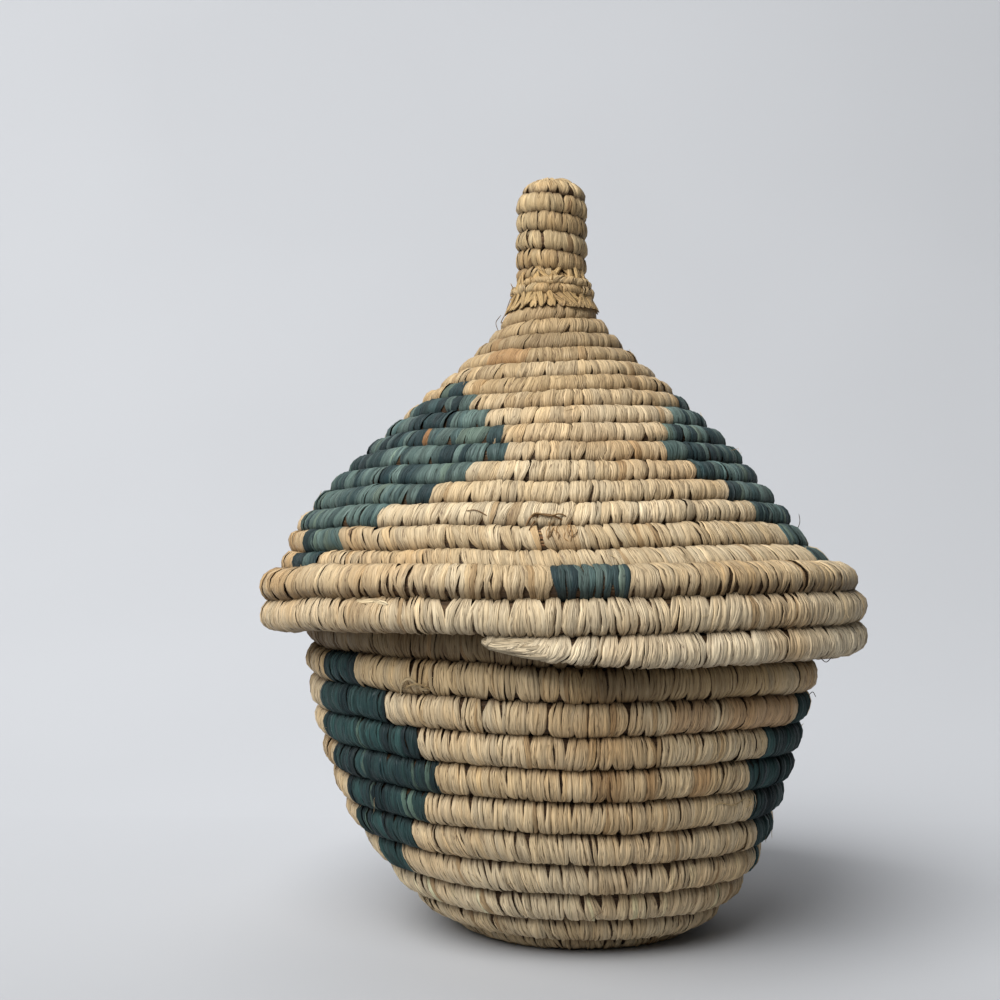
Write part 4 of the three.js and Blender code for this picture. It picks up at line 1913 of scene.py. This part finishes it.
@dataclass
class Lid(SewnWall):
    """The lid: its bundle, from the neck down the cone to the rim's tail, and its sewing."""

    NAME = "lid"
    NODE = "lid_coil"
    BODY = Body.LID
    SLOT = Slot.LID
    TONES = NATURAL
    GREEN = FADED_GREEN
    SEED = 23
    STRAY_SEED = 53

    rim_radius: float = 52.6
    rim_top: float = 14.2
    cone_radius: float = 47.6
    cone_foot: float = 15.3
    belly_in: float = 8.4
    belly_rise: float = 17.0
    neck_height: float = 61.2
    neck_flare: float = 2.1
    neck_flare_drop: float = 8.0
    cone_shift: float = -2.6
    cone_shift_from: float = 20.4
    apex_shift: float = -1.4
    apex_shift_from: float = 45.4
    neck_radius: float = 7.1
    neck_row_height: float = 3.1
    neck_row_thickness: float = 3.2
    cone_row_height: float = 3.83
    cone_rows_from: float = 30.0
    cone_row_thickness: float = 4.2
    rim_row_height: float = 4.6
    rim_row_thickness: float = 5.2
    start_angle: float = math.radians(345)
    tail_angle: float = math.radians(15)  # the sewn tail keeps its fullness nearly to its tip
    frayed_at: tuple[float, float] = (564, 534)  # the pixel of the frayed place's middle
    frayed_reach: float = 15.0
    frayed_count: int = 15
    tail_cut: float = 2.6  # how much shorter the sewn tail is than the CAD's
    tail_strand_count: int = 20
    rows_to_tail: int = 12  # pattern rows from the first one down to the tail's
    bleached: float = 120.0  # how much of the last row is paler
    bundle_colour: Colour = (0.36, 0.27, 0.17)
    stitching: Stitching = Stitching(
        stitch_start=1.5,
        stitch_end=3.0,
        strand_start=1.5,
        strand_end=0.6,
        slant=0.35,
        pinch=0.6,
        far_pinch=0.68,
        end_pinch=0.64,
        end_far_pinch=0.7,
        end_share=0.69,
        dive=0.6,
        most_lean=0.55,
        edge_dark=0.5,
        groove_dark=0.78,
        tail_sweep=5.5,
        tail_slim=0.42,
    )
    stains: tuple[Stain, ...] = (
        Stain((542, 534), 0.85),
        Stain((541, 534), 2.6, (0.68, 0.54, 0.37), 0.45, onward=-3.0),
        Stain((517, 513), 0.35, (0.56, 0.45, 0.31)),
        Stain((579, 493), 0.35, (0.46, 0.36, 0.24), 0.9),
        Stain((427, 438), 0.6, (0.62, 0.43, 0.25), 0.9),
        Stain((506, 357), 3.6, (0.70, 0.52, 0.33), 0.6),
    )
    whiskers: tuple[Whisker, ...] = (
        Whisker(((534, 530, -0.6), (541, 530, -0.4), (548, 531, -0.6)), 0.5, WORN),
        Whisker(((534, 533, -0.5), (541, 533, -0.3), (548, 534, -0.5)), 0.35, (0.70, 0.56, 0.38)),
        Whisker(((534, 536, -0.5), (541, 536, -0.3), (548, 536, -0.5)), 0.5, WORN),
        Whisker(((534, 539, -0.5), (541, 540, -0.3), (548, 539, -0.5)), 0.35, (0.66, 0.51, 0.34)),
        Whisker(((534, 543, -0.6), (541, 543, -0.4), (548, 544, -0.6)), 0.5, WORN),
        Whisker(
            ((524, 526, 0.1), (532, 519, 0.4), (543, 517, 0.5), (555, 518, 0.5), (567, 523, 0.1)),
            0.32,
            (0.50, 0.38, 0.24),
        ),
        Whisker(
            ((526, 523, 0.1), (536, 516, 0.7), (548, 519, 0.7), (558, 517, 0.6), (569, 519, 0.2)),
            0.24,
            (0.58, 0.46, 0.30),
        ),
        Whisker(((538, 517, 0.3), (535, 524, 0.5), (530, 531, 0.2)), 0.22, (0.46, 0.33, 0.2)),
        Whisker(
            ((466, 511, 0.1), (476, 512, 0.3), (486, 516, 0.3), (496, 523, 0.1)),
            0.17,
            (0.47, 0.36, 0.23),
        ),
        Whisker(
            ((357, 599, 0.3), (366, 598, 0.8), (378, 600, 0.9), (389, 604, 0.5)),
            0.85,
            (0.93, 0.87, 0.73),
            True,
        ),
        Whisker(((796, 529, 0.0),), 0.13, DARK, False, ((0.5, 1.0, 1.0), (0.6, 2.2, 1.6))),
        Whisker(((815, 657, 0.0),), 0.14, DARK, False, ((0.4, -0.8, 0.9), (1.4, 0.0, 1.3))),
        Whisker(
            ((500, 318, 0.0), (497, 321, 0.5)),
            0.16,
            DRY,
            False,
            ((-0.9, 1.8, 0.4), (-1.2, 3.6, 0.9), (-1.6, 5.2, 1.2)),
        ),
        Whisker(((495, 326, 0.0),), 0.13, DRY, False, ((-0.6, 1.2, 1.2), (0.2, 2.6, 1.4))),
        Whisker(
            ((597, 306, 0.0),),
            0.12,
            DRY,
            False,
            ((1.6, 0.8, 0.8), (3.4, 1.2, 1.2), (5.2, 2.2, 1.6)),
        ),
    )

    def _row(self, cone_length: float, length: float, turn: float) -> Row:
        """A row's size: fine at the neck, larger on the cone and fat on the rim.

        Args:
            cone_length: Length of the outline's cone.
            length: The row's place along the outline.
            turn: Number of turns since the bundle's start.

        Returns:
            Its size.
        """
        share = lerp(self.start_share, 1.0, min(turn, 1.0))
        on_cone = progress(length, 0.0, self.cone_rows_from)
        rim_start = cone_length - self.cone_row_height
        on_rim = progress(length, rim_start, cone_length + self.rim_row_height)
        on_rim = on_rim * on_rim * (3 - 2 * on_rim)
        height = lerp(self.neck_row_height, self.cone_row_height, on_cone)
        height = lerp(height, self.rim_row_height, on_rim)
        thickness = lerp(self.neck_row_thickness, self.cone_row_thickness, on_cone)
        thickness = lerp(thickness, self.rim_row_thickness, on_rim)
        return Row(share * height, share * thickness)

    def _shift(self, height: Array) -> Array:
        """Sideways place of the axis.

        Args:
            height: Heights above the rim's lower edge.

        Returns:
            The axis's place at each.
        """
        onto_cone = (height - self.rim_top) / (self.cone_shift_from - self.rim_top)
        leaning = self.cone_shift * np.clip(onto_cone, 0, 1)
        to_apex = (height - self.cone_shift_from) / (self.apex_shift_from - self.cone_shift_from)
        share = np.clip(to_apex, 0, 1)
        return leaning * (1 - share) + self.apex_shift * share

    def lay(self) -> Coil:
        """Lays the lid's bundle, raised to where the frame's lid rests.

        Returns:
            The bundle's course.
        """
        cone = curve_between(
            np.array([self.neck_radius, self.neck_height]),
            np.array([self.neck_radius + self.neck_flare, self.neck_height - self.neck_flare_drop]),
            np.array([self.cone_radius - self.belly_in, self.cone_foot + self.belly_rise]),
            np.array([self.cone_radius, self.cone_foot]),
        )
        cone = Outline(cone).evenly(OUTLINE_POINTS)
        depth = np.linspace(self.neck_row_thickness, self.cone_row_thickness, len(cone)) / 2
        rim_middle = self.rim_radius - self.rim_row_thickness / 2
        rim = [
            (rim_middle, self.rim_top - self.rim_row_height / 2),
            (rim_middle, self.rim_row_height / 2),
        ]
        outline = Outline(np.concatenate([set_in(cone, -depth), rim]))
        row = partial(self._row, Outline(cone).length)
        start, steps, tail = self.start_angle, self.steps, self.tail_angle
        coil = Coil(Course(outline, self._shift, row, start, 0.0, steps, tail, Side.LEFT))
        coil.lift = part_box("lid_coil")[0][2] / MM - coil.lowest
        coil.trim = self.tail_cut
        return coil

    def pattern(self, coil: Coil) -> Pattern:
        """The lid's three diamonds and three rim marks.

        Args:
            coil: The lid's bundle.

        Returns:
            The pattern.
        """
        even = (7.0, 14.0, 24.0, 33.0, 39.0, 31.0, 24.0, 17.0, 10.0, 6.0, 0.0)
        left_before = (2.0, 16.0, 26.0, 34.0, 38.0, 34.0, 29.0, 22.0, 11.0, 12.0, 0.0)
        left_after = (12.0, 21.0, 30.5, 38.3, 42.0, 34.0, 26.0, 16.0, 6.0, -1.0, 0.0)
        right_before = (-9.0, 2.0, 19.0, 29.0, 35.0, 27.7, 21.0, 15.5, 8.0, 7.0, 0.0)
        mark = (0.0,) * 10 + (6.4,)
        diamonds = (
            Diamond(-52.0, left_before, left_after),
            Diamond(68.0, right_before, even),
            Diamond(188.0, even, even),
            Diamond(5.0, mark, mark),
            Diamond(125.0, mark, mark),
            Diamond(245.0, mark, mark),
        )
        last_front = math.degrees(coil.angle[-1]) // 360 * 360 + 360
        return Pattern(coil, last_front + 360.0 * self.rows_to_tail, -360.0, diamonds)

    def tail_strands(self, wall: Wall) -> list[MeshData]:
        """Strands that run along the tail and come together at its tip.

        Args:
            wall: The lid's wall.

        Returns:
            Their meshes.
        """
        rng = np.random.default_rng(73)
        coil = wall.coil
        made = []
        for i in range(self.tail_strand_count):
            share = (i + 0.5) / self.tail_strand_count
            reach = rng.uniform(4.0, 7.0) + 4.0 * share
            along = coil.length + np.array([0.9, -0.9, -0.4 * reach, -0.75 * reach, -reach])
            sizes = coil.sizes_at(np.clip(along, 0, coil.length))
            theta = np.radians(lerp(150.0, 12.0, share) + np.array([0.0, 0.0, 10.0, 26.0, 48.0]))
            theta[0] = math.radians(lerp(150.0, 95.0, share))
            grow = np.array([0.5, 1.0, 1.08, 1.08, 0.9]) + rng.uniform(-0.04, 0.06)
            slim = self.stitching.slimmed(coil.length - along)
            onward = sizes[:, 4] / 2 * np.cos(theta) * grow * np.where(theta < np.pi / 2, slim, 1)
            outward = sizes[:, 5] / 2 * np.sin(theta) * grow * (0.6 + 0.4 * slim)
            path = eased_path(coil.surface(along, onward, outward), 22)
            pale = rng.uniform(0.88, 1.04)
            colour = (0.86 * pale, 0.785 * pale, 0.65 * pale)
            made.append(loose_strand(path, rng.uniform(0.6, 0.95), colour, True, 8.0 * i))
        return made

    def tone(self, coil: Coil, place: Array, rng: np.random.Generator) -> Array:
        """How deep the strands' tone is: darker towards the neck, partly as painted shade.

        Args:
            coil: The lid's bundle.
            place: The strands' places along it.
            rng: Source of the random numbers.

        Returns:
            The tones, 0 for pale and 1 for deep.
        """
        tone = 0.38 + 0.28 * wander(place, 55.0, rng) + 0.16 * wander(place, 9.0, rng)
        # Partly the raffia's browner tone, partly painted shade on the cone's lit top.
        tone += 0.75 * (1 - smooth(place, 60.0, 1000.0))
        return tone - 0.1 * smooth(place, coil.length - 420.0, coil.length - 250.0)

    def marks(self, wall: Wall) -> tuple[Mark, ...]:
        """The stained and worn stretches, and the paler last row."""
        pale = Mark(wall.coil.length - self.bleached / 2, self.bleached, (0.95, 0.89, 0.77), 0.6)
        return (*super().marks(wall), pale)

    def loose(self, wall: Wall) -> list[MeshData]:
        """The loose strands, with the frayed place and the tail's."""
        frayed = tangle(wall, self.frayed_at, self.frayed_reach, self.frayed_count, 71)
        return super().loose(wall) + frayed + self.tail_strands(wall)


# ---- The finial ----


@dataclass
class Finial:
    """The finial: a stub of fibre, its fine winding, and the ragged binding at its foot."""

    radius: float = 6.3
    height: float = 18.4
    row_height: float = 2.85
    row_thickness: float = 2.4
    crown_height: float = 2.6
    closing_radius: float = 1.6
    tail_angle: float = math.radians(90)
    start_share: float = 0.45
    axis: float = -1.4  # its sideways place
    steps: int = 12  # sections in one turn
    stub_radius: float = 3.6
    binding_radius: float = 5.75
    binding_row: float = 1.45
    binding_thickness: float = 1.9
    binding_flare: float = 0.5
    binding_rise: float = 2.2
    binding_gap: float = 0.12
    binding_tail: float = math.radians(60)
    skirt_strands: int = 84
    closing_strands: int = 21
    tufts: int = 22
    winding: Stitching = Stitching(
        stitch_start=1.7,
        stitch_end=1.7,
        strand_start=0.85,
        strand_end=0.85,
        pinch=0.55,
        far_pinch=0.8,
        dive=0.3,
        lean=0.35,
        crown=0.2,
        set_back=0.38,
    )
    binding: Stitching = Stitching(
        stitch_start=1.9,
        stitch_end=1.9,
        strand_start=0.65,
        strand_end=0.65,
        pinch=0.6,
        far_pinch=0.7,
        dive=0.4,
        lean=0.9,
        crown=0.3,
        set_back=0.0,
    )

    def _leaning(self, height: Array) -> Array:
        """The axis's sideways place, the same at every height."""
        return np.full(np.shape(height), self.axis)

    def _winding_row(self, length: float, turn: float) -> Row:
        """A row of the winding at a place on its outline, after some turns."""
        share = lerp(self.start_share, 1.0, min(turn, 1.0))
        return Row(share * self.row_height, self.row_thickness)

    def _binding_row(self, length: float, turn: float) -> Row:
        """A row of the binding, the same everywhere."""
        return Row(self.binding_row, self.binding_thickness)

    def lay_winding(self) -> Coil:
        """Lays the finial's winding, raised to the frame's.

        Returns:
            The winding's course.
        """
        inset = self.row_thickness / 2
        radius = self.radius - inset
        crown_base = self.height - self.crown_height - inset
        angles = np.linspace(0, math.pi / 2, 7)
        inwards = (radius - self.closing_radius) * (1 - np.cos(angles))
        rise = (self.height - inset - crown_base) * np.sin(angles)
        crown = np.stack([radius - inwards, crown_base + rise], 1)
        foot = [(radius, self.start_share * self.row_height / 2)]
        outline = Outline(np.concatenate([foot, crown]))
        row, steps, tail = self._winding_row, self.steps, self.tail_angle
        coil = Coil(Course(outline, self._leaning, row, 0.0, 0.0, steps, tail, Side.RIGHT))
        coil.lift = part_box("finial_wrap")[0][2] / MM - coil.lowest
        return coil

    def lay_binding(self) -> Coil:
        """Lays the two turns of the binding, raised to the frame's.

        Returns:
            The binding's course.
        """
        foot = (self.binding_radius + self.binding_flare, 0.0)
        outline = Outline(np.array([foot, (self.binding_radius, self.binding_rise)]))
        row, steps, tail = self._binding_row, self.steps, self.binding_tail
        course = Course(outline, self._leaning, row, 2.0, 0.0, steps, tail, Side.RIGHT)
        course.stitch_gap = self.binding_gap
        coil = Coil(course)
        coil.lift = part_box("neck_binding")[0][2] / MM - coil.lowest
        return coil

    def _around(self, radius: float, angle: float, height: float) -> Place:
        """A point beside the finial's axis."""
        return self.axis + radius * math.sin(angle), -radius * math.cos(angle), height

    def _path(self, knots: list[Place], angle: float, count: int) -> Array:
        """A smooth path through knots of radius, angle and height, turned by an angle."""
        return eased_path(np.array([self._around(r, angle + a, z) for r, a, z in knots]), count)

    def skirt(self, foot: float) -> list[MeshData]:
        """Strands that run from the winding down over the neck onto the cone.

        Args:
            foot: Height of the winding's foot.

        Returns:
            Their meshes.
        """
        rng = np.random.default_rng(61)
        made = []
        for i in range(self.skirt_strands):
            angle = FULL_TURN * (i + rng.uniform(-0.4, 0.4)) / self.skirt_strands
            turn = rng.normal(0.0, 0.35)
            rise = rng.uniform(0.4, 3.4)
            stand = rng.uniform(-0.2, 0.35)
            under = i % 3 == 0
            if under:
                turn, stand = 0.0, -0.75
            knots = [
                (5.4 + stand, turn, foot + rise),
                (6.1 + stand, 0.6 * turn, foot + 0.4),
                (6.5 + stand, 0.2 * turn, foot - 1.6),
                (7.3 + 0.6 * stand, -0.2 * turn, foot - 3.4),
                (8.5, -0.6 * turn, foot - 5.4),
            ]
            colour = mixed((0.84, 0.72, 0.50), KHAKI.deep, rng.uniform(0, 1))
            wide = 1.9 if under else rng.uniform(0.7, 1.3)
            path = self._path(knots, angle, 18)
            made.append(loose_strand(path, wide, colour, True, 4.0 * i))
        return made

    def ragged_ends(self, middle: float) -> list[MeshData]:
        """Cut and torn ends that stand out round the binding.

        Args:
            middle: Height of the binding's middle.

        Returns:
            Their meshes.
        """
        rng = np.random.default_rng(67)
        made = []
        for i in range(self.tufts):
            angle = rng.choice([-1.4, -0.9, 0.3, 1.3, 2.6, 4.0]) + rng.normal(0, 0.35)
            turn = rng.normal(0, 0.16)
            rise = rng.uniform(-1.8, 2.6)
            reach = rng.uniform(0.5, 1.6)
            knots = [
                (6.0, 0.0, middle + rng.uniform(-0.9, 0.9)),
                (6.8, 0.5 * turn, middle + 0.35 * rise),
                (6.7 + reach, turn, middle + rise),
            ]
            flat = bool(rng.random() < 0.5)
            width = rng.uniform(0.25, 0.5) if flat else rng.uniform(0.08, 0.18)
            path = self._path(knots, angle, 10)
            made.append(loose_strand(path, width, (0.79, 0.67, 0.47), flat, 6.0 * i))
        return made

    def closing(self, top: float) -> list[MeshData]:
        """Strands drawn together over the winding's open middle.

        Args:
            top: Height of the winding's top.

        Returns:
            Their meshes.
        """
        rng = np.random.default_rng(79)
        made = []
        for i in range(self.closing_strands):
            angle = FULL_TURN * (i + rng.uniform(-0.3, 0.3)) / self.closing_strands
            rise = rng.uniform(-0.1, 0.12)
            knots = [
                (0.1, 0.0, top - 0.75 + rise),
                (1.1, 0.1, top - 0.45 + rise),
                (2.2, 0.25, top - 0.25 + rise),
                (3.4, 0.4, top - 0.6 + rise),
                (4.4, 0.5, top - 1.6),
            ]
            colour = mixed(KHAKI.pale, KHAKI.deep, rng.uniform(0, 1))
            path = self._path(knots, angle, 14)
            made.append(loose_strand(path, rng.uniform(0.8, 1.1), colour, False, 5.0 * i))
        return made

    def build(self, palette: Palette) -> None:
        """Builds and dresses the finial.

        Args:
            palette: The materials.
        """
        coil, tied = self.lay_winding(), self.lay_binding()

        def dye(place: Array, rng: np.random.Generator) -> tuple[Array, NDArray[np.bool_]]:
            """The strands' tone, with no strand green."""
            return 0.5 + 0.35 * wander(place, 6.0, rng), np.zeros(len(place), bool)

        khaki = (KHAKI, palette.khaki)
        wound = Home(Body.LID, Slot.FINIAL, ("finial_wrap",))
        Sewing(coil, self.winding, dye, 37).dress("finial", khaki, khaki, wound)
        bundle = bundle_mesh(coil, self.winding, 0.8, (0.42, 0.31, 0.19))
        core = Home(Body.LID, Slot.CORE, ("finial_wrap",))
        core.settle(build_mesh("finial_bundle", bundle, palette.bundle))
        foot, top = (float(corner[2]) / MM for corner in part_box("finial_wrap"))
        low = float(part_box("finial_core")[0][2]) / MM
        stem = np.array([self._around(0.0, 0.0, z) for z in np.linspace(low, top - 1.3, 24)])
        stub = loose_strand(stem, 2 * self.stub_radius, (0.45, 0.33, 0.2), False, 2.0, 24)
        inner = Home(Body.LID, Slot.CORE, ("finial_core",))
        inner.settle(build_mesh("finial_stub", stub, palette.bundle))
        band = Home(Body.LID, Slot.FINIAL, ("neck_binding",))
        Sewing(tied, self.binding, dye, 41).dress("binding", khaki, khaki, band)
        wound.settle(build_mesh("finial_closing", joined(self.closing(top)), palette.khaki))
        loose = self.skirt(foot) + self.ragged_ends(foot - 2.0)
        band.settle(build_mesh("neck_strands", joined(loose), palette.khaki))


# ---- Studio ----


@dataclass(frozen=True)
class Lamp:
    """A square soft lamp that faces the basket. Places and sizes in metres, power in watts."""

    name: str
    place: Place
    size: float
    power: float
    aim_height: float = 0.06

    def build(self) -> None:
        """Makes the lamp."""
        lamp = bpy.data.lights.new(self.name, "AREA")
        lamp.size = self.size
        lamp.energy = self.power
        holder = bpy.data.objects.new(self.name, lamp)
        holder.location = self.place
        aim = -np.array(self.place) + (0, 0, self.aim_height)
        pitch = math.atan2(math.hypot(aim[0], aim[1]), -aim[2])
        holder.rotation_euler = (pitch, 0.0, math.atan2(aim[1], aim[0]) - math.pi / 2)
        bpy.context.scene.collection.objects.link(holder)


@dataclass
class Studio:
    """A pale sweep of paper, soft lamps, and the camera of the photograph. Sizes in metres."""

    view: View
    image_pixels: float = 1000.0
    sensor_width: float = 36.0  # of the camera, in millimetres
    half_width: float = 2.4  # of the sheet of paper
    front: float = -1.4
    back: float = 0.62
    bend_radius: float = 0.52
    top: float = 2.4
    world_strength: float = 0.06
    paper: PaperFinish = PaperFinish("pale_paper", (0.745, 0.753, 0.767), 0.85)
    lamps: tuple[Lamp, ...] = (
        Lamp("key_light", (-0.44, -0.73, 0.95), 1.0, 27.2),
        Lamp("top_light", (-0.1, 0.1, 1.3), 0.8, 3.0),
    )

    def build(self) -> None:
        """Builds the sweep, the lamps, the world and the camera."""
        self._sweep()
        for lamp in self.lamps:
            lamp.build()
        self._world()
        self._camera()

    def _sweep(self) -> None:
        """The floor, curving up into the backdrop."""
        radius, flat_end = self.bend_radius, self.back - self.bend_radius
        profile = [(self.front, 0.0), (flat_end, 0.0)]
        for angle in np.linspace(0, math.pi / 2, 17):
            profile.append((flat_end + radius * math.sin(angle), radius * (1 - math.cos(angle))))
        profile.append((self.back, self.top))
        sides = (-self.half_width, self.half_width)
        points = [(x, y, z) for y, z in profile for x in sides]
        faces = [(2 * i, 2 * i + 1, 2 * i + 3, 2 * i + 2) for i in range(len(profile) - 1)]
        mesh = bpy.data.meshes.new("paper_sweep")
        mesh.from_pydata(points, [], faces)
        for face in mesh.polygons:
            face.use_smooth = True
        mesh.materials.append(self.paper.material())
        sweep = bpy.data.objects.new("paper_sweep", mesh)
        bpy.context.scene.collection.objects.link(sweep)

    def _world(self) -> None:
        """Even light from all round."""
        world = bpy.data.worlds.new("soft_room")
        world.use_nodes = True
        background = world.node_tree.nodes["Background"]
        background.inputs["Color"].default_value = (0.96, 0.98, 1.0, 1.0)
        background.inputs["Strength"].default_value = self.world_strength
        bpy.context.scene.world = world

    def _camera(self) -> None:
        """The camera, turned so that the basket falls where the photograph has it."""
        camera = bpy.data.cameras.new("camera")
        camera.sensor_width = self.sensor_width
        camera.lens = self.sensor_width * self.view.focal / self.image_pixels
        camera.clip_start = 0.01
        holder = bpy.data.objects.new("camera", camera)
        middle = self.image_pixels / 2
        yaw = math.atan((self.view.axis - middle) / self.view.focal)
        pitch = math.atan((self.view.horizon - middle) / self.view.focal)
        holder.location = (0.0, -self.view.distance * MM, self.view.eye_level * MM)
        holder.rotation_euler = (math.pi / 2 + pitch, 0.0, yaw)
        bpy.context.scene.collection.objects.link(holder)
        bpy.context.scene.camera = holder


def main() -> None:
    """Builds the whole scene."""
    logging.basicConfig(level=logging.INFO, format="%(name)s: %(message)s")
    bpy.context.scene.view_settings.view_transform = "Standard"
    palette = make_palette()
    view = View()
    Studio(view).build()
    Bowl().build(palette, view)
    Lid().build(palette, view)
    Finial().build(palette)


if __name__ == "__main__":
    main()
